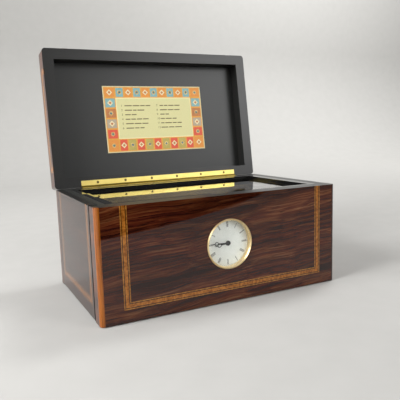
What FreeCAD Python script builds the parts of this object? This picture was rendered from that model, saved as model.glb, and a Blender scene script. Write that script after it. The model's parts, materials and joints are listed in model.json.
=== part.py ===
"""Cylinder music box with a clock in its front, lid open, in millimetres.

The origin is on the table under the middle of the case. X runs to the right, Y to the back and Z up.
"""
import FreeCAD, Part
import math
import os

V = FreeCAD.Vector
X_AXIS = V(1, 0, 0)
Y_AXIS = V(0, 1, 0)
Z_AXIS = V(0, 0, 1)
NEAR = 0.01

# Case
CASE_W = 344.0
CASE_D = 208.0
CASE_H = 140.0
FELT_T = 1.2
FELT_INSET = 6.0
FRONT_T = 21.0
WALL_T = 16.0
END_WALL_T = 8.0
BASE_T = 10.0
CORNER_R = 5.0
LIPPING_FLAT = 0.6
BOARD_DEPTH = 90.0
BOARD_T = 8.0
CLEAT_W = 10.0
CLEAT_H = 12.0

# Inlaid bands, each an open frame whose sides run up to the top edge
INLAY_W = 8.7
INLAY_DEPTH = 1.0
FRONT_INLAY_LEFT = 28.9
FRONT_INLAY_RIGHT = 26.8
SIDE_INLAY_FRONT = 30.0
SIDE_INLAY_REAR = 25.5
FRONT_INLAY_FOOT = 16.5
SIDE_INLAY_FOOT = 19.0
LID_INLAY_DROP = 1.0

# Left end flap on two pivot pins, with a finger slot along its front edge
FLAP_T = 10.0
FLAP_SLOT = 3.2
FLAP_GAP = 0.8
FLAP_PIVOT_IN = 3.5
FLAP_TOE_R = 0.8
FLAP_HEEL_R = 4.0
FLAP_PIN_R = 1.5
FLAP_PIN_IN = 8.0
WINDOW_MARGIN_Y = 30.0
WINDOW_FOOT = 6.0
WINDOW_H = 58.0

# Black rim and the framed glass lid that lies in it
RIM_LEFT = 7.7
RIM_RIGHT = 10.5
RIM_FRONT = 5.0
RIM_REAR = 11.0
RIM_FRAME_H = 17.0
LEDGE_W = 4.0
GLASS_DROP = 3.0
GLASS_FRAME_T = 8.0
GLASS_FRAME_W = 9.0
GLASS_CLEAR = 0.6
GLASS_LAP = 3.0
GLASS_T = 4.0
GLASS_LIP = 1.5
GLASS_PIN_R = 1.5
GLASS_PIN_IN = 5.0
NOTCH_R = 16.0
NOTCH_DEPTH = 6.0

# Lid, drawn shut and then opened on its hinge
LID_H = 28.5
LID_RIM = 16.0
LID_TOP_T = 8.0
LID_EDGE_R = 2.5
LID_GAP = 0.4
LID_OPEN = 98.0
LINING_T = 1.5
LINING_CLEAR = 0.2
CARD_W = 172.0
CARD_H = 106.0
CARD_T = 0.5
CARD_RIGHT = 4.5

# Piano hinge
HINGE_L = 266.0
HINGE_IN = 0.1
LEAF_W = 10.0
LEAF_T = 1.2
HINGE_BARREL_R = 2.3
HINGE_PIN_R = 1.0
KNUCKLES = 19
KNUCKLE_GAP = 0.3
HINGE_CLEAR = 0.35
HINGE_SCREWS = 6
HINGE_SCREW_PITCH = 44.0
HINGE_SCREW_RIGHT = 2.4
HINGE_SCREW_IN = 6.4
HINGE_SCREW_HEAD_R = 2.0
HINGE_SCREW_R = 0.9
HINGE_SCREW_L = 9.0
HINGE_SLOT_W = 0.4
HINGE_SLOT_T = 0.4

# Clock let into the front panel; depths are behind the panel's face
CLOCK_Z = 77.0
BEZEL_R = 32.5
BEZEL_FLANGE = 1.7
BEZEL_WALL = 0.7
BEZEL_SLOPE = 0.9
BEZEL_PROUD = 2.2
CLOCK_HOLE_CLEAR = 0.2
DIAL_DEPTH = 6.0
DIAL_T = 0.8
DIAL_HOLE_CLEAR = 0.3
LENS_DEPTH = 0.4
LENS_T = 1.4
CLOCK_BODY_INSET = 1.8
CLOCK_BODY_T = 13.5
MINUTE_SHORT = 3.3
HOUR_SHORT = 10.3
HAND_T = 0.4
HAND_W = 1.5
HAND_TAIL = 3.4
HAND_HUB_WALL = 1.3
HAND_RING_R = 2.8
HAND_RING_WALL = 0.7
HAND_RING_RATIO = 0.62
HOUR_HAND_LIFT = 0.6
MINUTE_HAND_LIFT = 1.6
MINUTE_ARBOR_R = 1.0
HOUR_TUBE_R = 1.9
HOUR_TUBE_L = 4.0
KNOB_R = 5.0
KNOB_T = 3.0
MINUTES_PAST = 45.5
HOURS = 8
DEGREES_PER_MINUTE = 6.0
DEGREES_PER_HOUR = 30.0

# Movement on the sound board, between the key by the left wall and the governor by the right
RUN = 0.05
KEY_TO_WALL = 11.2
BED_TO_WALL = 19.0
BED_END = 21.5
BED_FRONT = 70.0
BED_REAR = 54.0
BED_T = 5.0
BED_SCREW_IN = 7.0
BED_SCREW_R = 2.0
BED_SCREW_HEAD_R = 4.0
BED_SCREW_HEAD_T = 2.4
SCREW_SLOT_W = 0.8
SCREW_SLOT_T = 0.9

# Tune cylinder
CYL_BACK = 7.5
CYL_R = 20.0
CYL_WALL = 1.5
CYL_CAP_T = 2.0
CYL_ARBOR_R = 3.0
TUNE_SHIFT_ROOM = 2.0
BRACKET_T = 5.0
CYL_BRACKET_HALF = 12.0
CYL_BRACKET_EYE_R = 7.0
BRACKET_SPACE = 2.5

# Comb
TEETH = 72
COMB_END = 1.2
TOOTH_SLOT = 0.5
COMB_T = 2.0
COMB_TIP_GAP = 1.1
COMB_BASS_L = 27.0
COMB_TREBLE_L = 13.0
COMB_BODY_L = 16.0
COMB_SCREWS = 6
COMB_SCREW_R = 1.5
COMB_SCREW_HEAD_R = 3.0
COMB_SCREW_HEAD_T = 2.0

# Gears, all with 20 degree involute teeth
PRESSURE = math.radians(20.0)
ADDENDUM_RATIO = 0.85
DEDENDUM_RATIO = 1.2
BACKLASH_RATIO = 0.14
BARREL_TEETH = 60
CYL_PINION_TEETH = 20
BARREL_MODULE = 0.9
GREAT_TEETH = 72
GOV_PINION_TEETH = 12
TRAIN_MODULE = 0.6
WORM_WHEEL_TEETH = 30
GEAR_T = 5.0
PINION_OVERHANG = 1.0
GREAT_T = 2.5
WORM_WHEEL_T = 1.4

# Spring barrel and winding
BARREL_FOOT = 2.2
BARREL_RISE = 4.0
BARREL_L = 49.0
BARREL_STEP = 1.9
BARREL_WALL = 2.0
WIND_ARBOR_R = 4.0
BARREL_BRACKET_HALF = 15.0
BARREL_BRACKET_EYE_R = 9.0
SPRING_TURNS = 6
SPRING_STEPS = 12
SPRING_T = 1.0
SPRING_CLEAR = 0.3
RATCHET_TEETH = 20
RATCHET_R = 13.0
RATCHET_TOOTH_H = 2.2
RATCHET_T = 3.0
CLICK_PIVOT_DEPTH = 21.0
CLICK_PIVOT_OUT = 9.5
CLICK_TIP_ANGLE = 214.5
CLICK_HALF_W = 1.9
CLICK_TIP_GAP = 0.3
CLICK_PIN_R = 1.2
KEY_HUB_R = 6.0
KEY_HUB_L = 26.0
KEY_WALL = 4.0
KEY_SPACE = 4.0
KEY_LOBE_R = 10.5
KEY_LOBE_OUT = 14.0
KEY_LOBE_HOLE_R = 4.5
KEY_T = 4.0

# Governor
GOV_ANGLE = -17.75
GOV_ARBOR_R = 1.2
GOV_COCK_T = 2.5
GOV_COCK_SPACE = 10.0
GOV_COCK_HALF = 5.0
GOV_EYE_OVER = 5.0
GOV_PLATE_T = 4.0
WORM_ROOT_R = 1.2
WORM_SINK = 0.3
WORM_CREST_RATIO = 0.2
WORM_FOOT_RATIO = 0.42
WORM_TURNS = 6
WORM_ARBOR_R = 0.9
WORM_TOP = 23.0
WORM_PIVOT_IN = 2.5
FLY_R = 8.4
FLY_H = 10.0
FLY_T = 0.6
FLY_HUB_R = 2.0
FLY_UNDER_ARM = 2.5
FLY_CLEAR = 1.1
GOV_POST_T = 4.0
GOV_ARM_T = 3.0
GOV_SCREW_GAP = 2.0

# Start and change levers
LEVER_FROM_END = 28.0
START_LEVER_BACK = 14.0
CHANGE_LEVER_BACK = 36.0
LEVER_LEFT = 42.0
LEVER_RIGHT = 16.0
LEVER_HALF_W = 3.5
LEVER_T = 2.0
LEVER_LIFT = 3.5
LEVER_KNOB_R = 4.2
LEVER_KNOB_H = 9.5
LEVER_POST_R = 2.0
LEVER_POST_FLANGE_R = 3.4
LEVER_POST_CAP_T = 1.6
LEVER_POST_GAP = 0.15

# Planes, radii and centres worked out from the sizes above
LEFT = -CASE_W / 2
RIGHT = CASE_W / 2
FRONT = -CASE_D / 2
REAR = CASE_D / 2
TOP = CASE_H
FLOOR = FELT_T
END_X0 = LEFT + FLAP_T + FLAP_GAP
IN_X0 = END_X0 + END_WALL_T
IN_X1 = RIGHT - WALL_T
IN_Y0 = FRONT + FRONT_T
IN_Y1 = REAR - WALL_T
BOARD_Z = TOP - BOARD_DEPTH
BOARD_TOP = BOARD_Z + BOARD_T
BED_TOP = BOARD_TOP + BED_T
POCKET_X0 = IN_X0 + RIM_LEFT
POCKET_X1 = IN_X1 - RIM_RIGHT
POCKET_Y0 = IN_Y0 + RIM_FRONT
POCKET_Y1 = IN_Y1 - RIM_REAR
LIPPING_W = CORNER_R + LIPPING_FLAT
GLASS_TOP = TOP - GLASS_DROP
LEDGE_TOP = GLASS_TOP - GLASS_FRAME_T
GLASS_PIVOT_Y = POCKET_Y1 - GLASS_CLEAR - GLASS_FRAME_T / 2
GLASS_PIVOT_Z = GLASS_TOP - GLASS_FRAME_T / 2
FLAP_PIVOT_X = LEFT + FLAP_PIVOT_IN
FLAP_FOOT = FLOOR + FLAP_GAP
FLAP_PIVOT_Z = FLAP_FOOT + FLAP_PIVOT_IN
FLAP_Y0 = IN_Y0 + FLAP_SLOT
FLAP_Y1 = IN_Y1 - FLAP_GAP
HINGE_Y = REAR - HINGE_IN
HINGE_Z = TOP + LID_GAP / 2
LID_Z0 = TOP + LID_GAP
LID_Z1 = LID_Z0 + LID_H
LID_RAIL_TOP = LID_Z1 - LID_TOP_T
BEZEL_TUBE_R = BEZEL_R - BEZEL_FLANGE
BEZEL_BORE_R = BEZEL_TUBE_R - BEZEL_WALL
BEZEL_LIP_R = BEZEL_BORE_R + BEZEL_SLOPE
CLOCK_BODY_R = BEZEL_BORE_R - CLOCK_BODY_INSET
MINUTE_L = BEZEL_BORE_R - MINUTE_SHORT
HOUR_L = BEZEL_BORE_R - HOUR_SHORT

# Movement from the left wall rightwards to the cylinder
KEY_X0 = IN_X0 + KEY_TO_WALL
KEY_X1 = KEY_X0 + KEY_HUB_L
RATCHET_X0 = KEY_X1 + KEY_SPACE
RATCHET_X1 = RATCHET_X0 + RATCHET_T
BARREL_X0 = RATCHET_X1 + BRACKET_SPACE + BRACKET_T + BRACKET_SPACE
BARREL_GEAR_X0 = BARREL_X0 + BARREL_L
BARREL_GEAR_X1 = BARREL_GEAR_X0 + GEAR_T
BARREL_BRACKET_X = (RATCHET_X1 + BRACKET_SPACE, BARREL_GEAR_X1 + BRACKET_SPACE)
CYL_X0 = BARREL_BRACKET_X[1] + 2 * BRACKET_T + BRACKET_SPACE
BED_X0 = BARREL_BRACKET_X[0] - BED_END
LEVER_X = BED_X0 + LEVER_FROM_END

# Movement from the right wall leftwards to the cylinder, whose length fills what is left
BED_X1 = IN_X1 - BED_TO_WALL
GOV_COCK_X1 = BED_X1 - BED_SCREW_IN - BED_SCREW_HEAD_R - GOV_SCREW_GAP - GOV_COCK_T
GOV_COCK_X0 = GOV_COCK_X1 - GOV_COCK_SPACE - GOV_COCK_T
GREAT_X1 = GOV_COCK_X0 - BRACKET_SPACE
GREAT_X0 = GREAT_X1 - GREAT_T
CYL_X1 = GREAT_X0 - TUNE_SHIFT_ROOM
CYL_BRACKET_X = (BARREL_BRACKET_X[1] + BRACKET_T, GREAT_X1 + BRACKET_SPACE)
COMB_X0 = CYL_X0 + COMB_END
COMB_X1 = CYL_X1 - COMB_END
TOOTH_PITCH = (COMB_X1 - COMB_X0) / TEETH

# Heights and depths of the movement's axes
BARREL_PITCH_R = BARREL_TEETH * BARREL_MODULE / 2
BARREL_OUT_R = BARREL_PITCH_R - DEDENDUM_RATIO * BARREL_MODULE - BARREL_STEP
BARREL_Z = BED_TOP + BARREL_PITCH_R + ADDENDUM_RATIO * BARREL_MODULE + BARREL_FOOT
BARREL_CENTRES = BARREL_PITCH_R + CYL_PINION_TEETH * BARREL_MODULE / 2
CYL_Y = (IN_Y0 + IN_Y1) / 2 + CYL_BACK
CYL_Z = BARREL_Z - BARREL_RISE
BARREL_Y = CYL_Y - math.sqrt(BARREL_CENTRES ** 2 - BARREL_RISE ** 2)
BED_Y0 = CYL_Y - BED_FRONT
BED_Y1 = CYL_Y + BED_REAR
LEVER_Y = (CYL_Y + START_LEVER_BACK, CYL_Y + CHANGE_LEVER_BACK)
COMB_Y0 = CYL_Y - CYL_R - COMB_TIP_GAP - COMB_BASS_L - COMB_BODY_L
COMB_Z0 = CYL_Z - COMB_T / 2
GOV_CENTRES = (GREAT_TEETH + GOV_PINION_TEETH) * TRAIN_MODULE / 2
GOV_Y = CYL_Y + GOV_CENTRES * math.cos(math.radians(GOV_ANGLE))
GOV_Z = CYL_Z + GOV_CENTRES * math.sin(math.radians(GOV_ANGLE))
WORM_PITCH = math.pi * TRAIN_MODULE
WORM_X = (GOV_COCK_X0 + GOV_COCK_T + GOV_COCK_X1) / 2
WORM_Y = GOV_Y + WORM_WHEEL_TEETH * TRAIN_MODULE / 2 + WORM_ROOT_R + TRAIN_MODULE
GOV_ARM_Z = GOV_Z + WORM_TOP
GOV_POST_Y = WORM_Y + FLY_R + FLY_CLEAR


# Simple solids
def box(x0, x1, y0, y1, z0, z1):
    """A box between two corners."""
    return Part.makeBox(x1 - x0, y1 - y0, z1 - z0, V(x0, y0, z0))


def rod_x(radius, x0, x1, y, z):
    """A cylinder along X."""
    return Part.makeCylinder(radius, x1 - x0, V(x0, y, z), X_AXIS)


def rod_y(radius, y0, y1, x, z):
    """A cylinder along Y."""
    return Part.makeCylinder(radius, y1 - y0, V(x, y0, z), Y_AXIS)


def rod_z(radius, z0, z1, x, y):
    """A cylinder along Z."""
    return Part.makeCylinder(radius, z1 - z0, V(x, y, z0), Z_AXIS)


def prism(points, depth):
    """A closed outline of points pushed along the vector depth."""
    return Part.Face(Part.makePolygon(points + points[:1])).extrude(depth)


def fuse(first, *others):
    """One solid of several that meet, without seams."""
    return first.fuse(list(others)).removeSplitter()


def parallel(way, axis):
    """Whether a direction runs along an axis, either way."""
    return way.cross(axis).Length < NEAR


def round_edges(shape, radius, wanted):
    """Round the edges for which wanted(middle, direction) holds."""
    chosen = []
    for edge in shape.Edges:
        ends = [vertex.Point for vertex in edge.Vertexes]
        if len(ends) == 2 and wanted(edge.CenterOfMass, (ends[1] - ends[0]).normalize()):
            chosen.append(edge)
    return shape.makeFillet(radius, chosen)


def round_uprights(shape, radius, y):
    """Round the upright edges that stand at depth y, left and right."""
    return round_edges(shape, radius, lambda mid, way: parallel(way, Z_AXIS) and abs(mid.y - y) < NEAR)


def opened(shape):
    """A lid piece, drawn shut, turned to where the open lid rests."""
    turned = shape.copy()
    turned.rotate(V(0, HINGE_Y, HINGE_Z), X_AXIS, -LID_OPEN)
    return turned


def open_frame(corner, across, up, margins, height, foot, inward):
    """An inlaid band with two uprights and a foot, laid into a face.

    corner, across and up place the face, margins are the band's distances from the two ends of across.
    """
    u0 = margins[0]
    u1 = across.Length - margins[1]
    side = V(across).normalize()
    outline = [(u0, height), (u0, foot), (u1, foot), (u1, height),
               (u1 - INLAY_W, height), (u1 - INLAY_W, foot + INLAY_W),
               (u0 + INLAY_W, foot + INLAY_W), (u0 + INLAY_W, height)]
    return prism([corner + side * u + up * v for u, v in outline], inward * INLAY_DEPTH)


def cheese_screw(shank_r, length, head_r, head_t):
    """A slotted screw on Z, with the underside of its head at the origin."""
    shank = rod_z(shank_r, -length, 0, 0, 0)
    head = rod_z(head_r, 0, head_t, 0, 0)
    slot = box(-head_r, head_r, -SCREW_SLOT_W / 2, SCREW_SLOT_W / 2, head_t - SCREW_SLOT_T, head_t)
    return fuse(shank, head).cut(slot)


def placed(shape, x, y, z):
    """A copy of a shape moved from the origin."""
    copy = shape.copy()
    copy.translate(V(x, y, z))
    return copy


# Case and end flap
def front_inlay():
    """The band on the front panel."""
    margins = (FRONT_INLAY_LEFT, FRONT_INLAY_RIGHT)
    return open_frame(V(LEFT, FRONT, 0), V(CASE_W, 0, 0), Z_AXIS, margins, TOP, FRONT_INLAY_FOOT, Y_AXIS)


def side_inlay(x, inward):
    """The band on the left flap or the right panel."""
    margins = (SIDE_INLAY_FRONT, SIDE_INLAY_REAR)
    return open_frame(V(x, FRONT, 0), V(0, CASE_D, 0), Z_AXIS, margins, TOP, SIDE_INLAY_FOOT, inward)


def corner_lippings():
    """Pale strips with a rounded edge down the two front corners."""
    strips = []
    for x in (LEFT, RIGHT - LIPPING_W):
        strip = box(x, x + LIPPING_W, FRONT, FRONT + LIPPING_W, FLOOR, TOP)
        outer = LEFT if x < 0 else RIGHT
        strips.append(round_edges(strip, CORNER_R, lambda mid, way: parallel(way, Z_AXIS)
                                  and abs(mid.y - FRONT) < NEAR and abs(mid.x - outer) < NEAR))
    return strips


def finger_notch():
    """The ball whose cap is scooped out of the rim, in front of the glass lid."""
    return Part.makeSphere(NOTCH_R, V(0, POCKET_Y0, TOP + NOTCH_R - NOTCH_DEPTH))


def flap_pins(radius):
    """Pins between the flap's lower corners and the front and rear panels."""
    ends = ((IN_Y0 - FLAP_PIN_IN, FLAP_Y0 + FLAP_PIN_IN), (FLAP_Y1 - FLAP_PIN_IN, IN_Y1 + FLAP_PIN_IN))
    return [rod_y(radius, y0, y1, FLAP_PIVOT_X, FLAP_PIVOT_Z) for y0, y1 in ends]


def front_panel():
    """The thick front, bored for the clock and grooved for its band."""
    panel = box(LEFT, RIGHT, FRONT, IN_Y0, FLOOR, TOP)
    clock_hole = rod_y(BEZEL_TUBE_R + CLOCK_HOLE_CLEAR, FRONT, IN_Y0, 0, CLOCK_Z)
    squares = [box(x, x + LIPPING_W, FRONT, FRONT + LIPPING_W, FLOOR, TOP) for x in (LEFT, RIGHT - LIPPING_W)]
    return panel.cut(squares + [clock_hole, front_inlay(), finger_notch(), flap_pins(FLAP_PIN_R)[0]])


def right_panel():
    """The right end, grooved for its band."""
    return box(IN_X1, RIGHT, IN_Y0, IN_Y1, FLOOR, TOP).cut(side_inlay(RIGHT, -X_AXIS))


def rear_panel():
    """The back, let in for the hinge leaf and its barrel."""
    panel = round_uprights(box(LEFT, RIGHT, IN_Y1, REAR, FLOOR, TOP), CORNER_R, REAR)
    leaf = box(-HINGE_L / 2, HINGE_L / 2, HINGE_Y - LEAF_W, HINGE_Y, TOP - LEAF_T, TOP)
    return panel.cut([leaf, barrel_room(), flap_pins(FLAP_PIN_R)[1]] + hinge_screw_rods(TOP, -1))


def left_end_wall():
    """The fixed wall behind the flap, with a window to the key and levers."""
    wall = box(END_X0, IN_X0, IN_Y0, IN_Y1, FLOOR, TOP)
    sill = BOARD_TOP + WINDOW_FOOT
    y0 = IN_Y0 + WINDOW_MARGIN_Y
    y1 = IN_Y1 - WINDOW_MARGIN_Y
    return wall.cut(box(END_X0, IN_X0, y0, y1, sill, sill + WINDOW_H))


def rim_frame():
    """The black rim inside the walls, with a ledge for the glass lid on three sides."""
    frame = box(IN_X0, IN_X1, IN_Y0, IN_Y1, TOP - RIM_FRAME_H, TOP)
    pocket = box(POCKET_X0, POCKET_X1, POCKET_Y0, POCKET_Y1, LEDGE_TOP, TOP)
    through = box(POCKET_X0 + LEDGE_W, POCKET_X1 - LEDGE_W, POCKET_Y0 + LEDGE_W, POCKET_Y1,
                  TOP - RIM_FRAME_H, TOP)
    rear_clear = box(POCKET_X0, POCKET_X1, GLASS_PIVOT_Y - GLASS_FRAME_T, POCKET_Y1, TOP - RIM_FRAME_H, TOP)
    return frame.cut([pocket, through, rear_clear, finger_notch()] + glass_pins(GLASS_PIN_R + RUN))


def flap_panel():
    """The left end flap, rounded below so that it can turn down."""
    panel = box(LEFT, LEFT + FLAP_T, FLAP_Y0, FLAP_Y1, FLAP_FOOT, TOP)

    for x, radius in ((LEFT, FLAP_TOE_R), (LEFT + FLAP_T, FLAP_HEEL_R)):
        foot = V(x, (FLAP_Y0 + FLAP_Y1) / 2, FLAP_FOOT)
        panel = round_edges(panel, radius, lambda mid, way: mid.distanceToPoint(foot) < NEAR)
    return panel.cut([side_inlay(LEFT, X_AXIS)] + flap_pins(FLAP_PIN_R + RUN))


def case_nodes():
    """Every fixed piece of wood, felt and inlay."""
    cleats = [box(IN_X0, IN_X1, y, y + CLEAT_W, BOARD_Z - CLEAT_H, BOARD_Z) for y in (IN_Y0, IN_Y1 - CLEAT_W)]
    return {
        "base_felt": box(END_X0, RIGHT - FELT_INSET, FRONT + FELT_INSET, REAR - FELT_INSET, 0, FELT_T),
        "base_panel": box(IN_X0, IN_X1, IN_Y0, IN_Y1, FLOOR, FLOOR + BASE_T),
        "front_panel": front_panel(),
        "front_corner_lippings": Part.makeCompound(corner_lippings()),
        "right_panel": right_panel(),
        "rear_panel": rear_panel(),
        "left_end_wall": left_end_wall(),
        "rim_frame": rim_frame(),
        "sound_board": box(IN_X0, IN_X1, IN_Y0, IN_Y1, BOARD_Z, BOARD_TOP).cut(bed_screws()),
        "board_cleats": Part.makeCompound(cleats),
        "case_inlay": Part.makeCompound([front_inlay(), side_inlay(RIGHT, -X_AXIS)]),
        "flap_pivot_pins": Part.makeCompound(flap_pins(FLAP_PIN_R)),
        "end_flap": flap_panel(),
        "flap_inlay": side_inlay(LEFT, X_AXIS),
    }


# Glass lid
def glass_pins(radius):
    """Pins from the glass lid's rear corners into the rim."""
    pins = []
    for wall, inward in ((POCKET_X0, 1), (POCKET_X1, -1)):
        ends = sorted((wall - inward * GLASS_PIN_IN, wall + inward * (GLASS_CLEAR + GLASS_PIN_IN)))
        pins.append(rod_x(radius, ends[0], ends[1], GLASS_PIVOT_Y, GLASS_PIVOT_Z))
    return pins


def glass_lid_nodes():
    """The black frame with a half-round rear edge, its pane and its pins."""
    x0 = POCKET_X0 + GLASS_CLEAR
    x1 = POCKET_X1 - GLASS_CLEAR
    y0 = POCKET_Y0 + GLASS_CLEAR
    y1 = GLASS_PIVOT_Y + GLASS_FRAME_T / 2 - GLASS_FRAME_W
    pane_top = GLASS_TOP - GLASS_LIP
    lap = GLASS_FRAME_W - GLASS_LAP
    slab = box(x0, x1, y0, GLASS_PIVOT_Y, LEDGE_TOP, GLASS_TOP)
    rear = rod_x(GLASS_FRAME_T / 2, x0, x1, GLASS_PIVOT_Y, GLASS_PIVOT_Z)
    sight = box(x0 + GLASS_FRAME_W, x1 - GLASS_FRAME_W, y0 + GLASS_FRAME_W, y1, LEDGE_TOP, GLASS_TOP)
    rabbet = box(x0 + lap, x1 - lap, y0 + lap, y1 + GLASS_LAP, LEDGE_TOP, pane_top)
    pane = box(x0 + lap, x1 - lap, y0 + lap, y1 + GLASS_LAP, pane_top - GLASS_T, pane_top)
    return {
        "glass_lid_frame": fuse(slab, rear).cut([sight, rabbet] + glass_pins(GLASS_PIN_R)),
        "glass_pane": pane,
        "glass_lid_pins": Part.makeCompound(glass_pins(GLASS_PIN_R)),
    }


# Lid and its piano hinge
def barrel_room():
    """The hollow that the hinge barrel lies in, along the rear edges of case and lid."""
    half = HINGE_L / 2 + KNUCKLE_GAP
    return rod_x(HINGE_BARREL_R + HINGE_CLEAR, -half, half, HINGE_Y, HINGE_Z)


def hinge_screw_places():
    """Where the hinge screws stand along X."""
    first = HINGE_SCREW_RIGHT - (HINGE_SCREWS - 1) * HINGE_SCREW_PITCH / 2
    return [first + n * HINGE_SCREW_PITCH for n in range(HINGE_SCREWS)]


def hinge_screw_rods(face, way):
    """Shanks of one leaf's screws, going in from a face along Z or against it."""
    ends = sorted((face, face + way * HINGE_SCREW_L))
    return [rod_z(HINGE_SCREW_R, ends[0], ends[1], x, HINGE_Y - HINGE_SCREW_IN) for x in hinge_screw_places()]


def hinge_screw_cones(face, way):
    """Countersunk heads of one leaf's screws, flush with a face."""
    return [Part.makeCone(HINGE_SCREW_HEAD_R, HINGE_SCREW_R, LEAF_T,
                          V(x, HINGE_Y - HINGE_SCREW_IN, face), Z_AXIS * way) for x in hinge_screw_places()]


def hinge_screws(face, way):
    """One leaf's countersunk screws, slotted."""
    screws = []
    pairs = zip(hinge_screw_cones(face, way), hinge_screw_rods(face, way))
    for (cone, shank), x in zip(pairs, hinge_screw_places()):
        depth = sorted((face, face + way * HINGE_SLOT_T))
        y0 = HINGE_Y - HINGE_SCREW_IN - HINGE_SLOT_W / 2
        slot = box(x - HINGE_SCREW_HEAD_R, x + HINGE_SCREW_HEAD_R, y0, y0 + HINGE_SLOT_W, depth[0], depth[1])
        screws.append(fuse(cone, shank).cut(slot))
    return screws


def hinge_leaf(face, way, first):
    """One leaf with every second knuckle, lying behind a face; first is 0 or 1."""
    ends = sorted((face, face + way * LEAF_T))
    pitch = HINGE_L / KNUCKLES
    half = HINGE_L / 2
    plate = box(-half, half, HINGE_Y - LEAF_W, HINGE_Y, ends[0], ends[1])
    plate = plate.cut(rod_x(HINGE_BARREL_R + KNUCKLE_GAP, -half, half, HINGE_Y, HINGE_Z))
    pieces = []
    for n in range(first, KNUCKLES, 2):
        x0 = -half + n * pitch + KNUCKLE_GAP / 2
        x1 = -half + (n + 1) * pitch - KNUCKLE_GAP / 2
        pieces.append(rod_x(HINGE_BARREL_R, x0, x1, HINGE_Y, HINGE_Z))
        pieces.append(box(x0, x1, HINGE_Y - LEAF_W / 2, HINGE_Y, ends[0], ends[1]))
    bore = rod_x(HINGE_PIN_R + RUN, -half, half, HINGE_Y, HINGE_Z)
    return fuse(plate, *pieces).cut([bore] + hinge_screw_cones(face, way))


def lid_front_inlay():
    """The band on the lid's front rail, which closes the front panel's band above."""
    margins = (FRONT_INLAY_LEFT, FRONT_INLAY_RIGHT)
    return open_frame(V(LEFT, FRONT, LID_RAIL_TOP), V(CASE_W, 0, 0), -Z_AXIS, margins,
                      LID_RAIL_TOP - LID_Z0, LID_INLAY_DROP, Y_AXIS)


def lid_side_inlay(x, inward):
    """The band on one side rail of the lid."""
    margins = (SIDE_INLAY_FRONT, SIDE_INLAY_REAR)
    return open_frame(V(x, FRONT, LID_RAIL_TOP), V(0, CASE_D, 0), -Z_AXIS, margins,
                      LID_RAIL_TOP - LID_Z0, LID_INLAY_DROP, inward)


def lid_nodes():
    """The lid's rails, top, lining, card and hinge, all turned open."""
    top = box(LEFT, RIGHT, FRONT, REAR, LID_RAIL_TOP, LID_Z1)
    top = round_edges(top, CORNER_R, lambda mid, way: parallel(way, Z_AXIS))
    top = top.makeFillet(LID_EDGE_R, [e for e in top.Edges if abs(e.CenterOfMass.z - LID_Z1) < NEAR])
    front = round_uprights(box(LEFT, RIGHT, FRONT, FRONT + LID_RIM, LID_Z0, LID_RAIL_TOP), CORNER_R, FRONT)
    rear = round_uprights(box(LEFT, RIGHT, REAR - LID_RIM, REAR, LID_Z0, LID_RAIL_TOP), CORNER_R, REAR)
    leaf = box(-HINGE_L / 2, HINGE_L / 2, HINGE_Y - LEAF_W, HINGE_Y, LID_Z0, LID_Z0 + LEAF_T)
    rear = rear.cut([leaf, barrel_room()] + hinge_screw_rods(LID_Z0, 1))
    left = box(LEFT, LEFT + LID_RIM, FRONT + LID_RIM, REAR - LID_RIM, LID_Z0, LID_RAIL_TOP)
    right = box(RIGHT - LID_RIM, RIGHT, FRONT + LID_RIM, REAR - LID_RIM, LID_Z0, LID_RAIL_TOP)
    bands = [lid_front_inlay(), lid_side_inlay(LEFT, X_AXIS), lid_side_inlay(RIGHT, -X_AXIS)]
    inset = LID_RIM + LINING_CLEAR
    lining_z = LID_RAIL_TOP - LINING_T
    lining = box(LEFT + inset, RIGHT - inset, FRONT + inset, REAR - inset, lining_z, LID_RAIL_TOP)
    card_x = CARD_RIGHT - CARD_W / 2
    card = box(card_x, card_x + CARD_W, -CARD_H / 2, CARD_H / 2, lining_z - CARD_T, lining_z)
    shut = {
        "lid_top_panel": top,
        "lid_front_rail": front.cut(bands[0]),
        "lid_rear_rail": rear,
        "lid_side_rails": Part.makeCompound([left.cut(bands[1]), right.cut(bands[2])]),
        "lid_inlay": Part.makeCompound(bands),
        "lid_lining": lining,
        "tune_card": card,
        "lid_hinge_lid_leaf": hinge_leaf(LID_Z0, 1, 1),
        "lid_hinge_lid_screws": Part.makeCompound(hinge_screws(LID_Z0, 1)),
    }
    nodes = {name: opened(shape) for name, shape in shut.items()}
    nodes["lid_hinge_case_leaf"] = hinge_leaf(TOP, -1, 0)
    nodes["lid_hinge_case_screws"] = Part.makeCompound(hinge_screws(TOP, -1))
    nodes["lid_hinge_pin"] = rod_x(HINGE_PIN_R, -HINGE_L / 2, HINGE_L / 2, HINGE_Y, HINGE_Z)
    return nodes


# Clock
def clock_hand(length, depth, degrees):
    """A flat pointed hand with a pierced ring, clockwise from twelve as seen from the front."""
    half = HAND_W / 2
    ring_at = length * HAND_RING_RATIO
    blade = prism([V(-half, 0, -HAND_TAIL), V(half, 0, -HAND_TAIL), V(half, 0, ring_at), V(0, 0, length),
                   V(-half, 0, ring_at)], V(0, HAND_T, 0))
    hub = rod_y(HOUR_TUBE_R + HAND_HUB_WALL, 0, HAND_T, 0, 0)
    pierced = rod_y(HAND_RING_R - HAND_RING_WALL, 0, HAND_T, 0, ring_at)
    hand = fuse(blade.cut(pierced), hub, rod_y(HAND_RING_R, 0, HAND_T, 0, ring_at).cut(pierced))
    hand.rotate(V(0, 0, 0), Y_AXIS, degrees)
    hand.translate(V(0, FRONT + depth - HAND_T, CLOCK_Z))
    return hand


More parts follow.
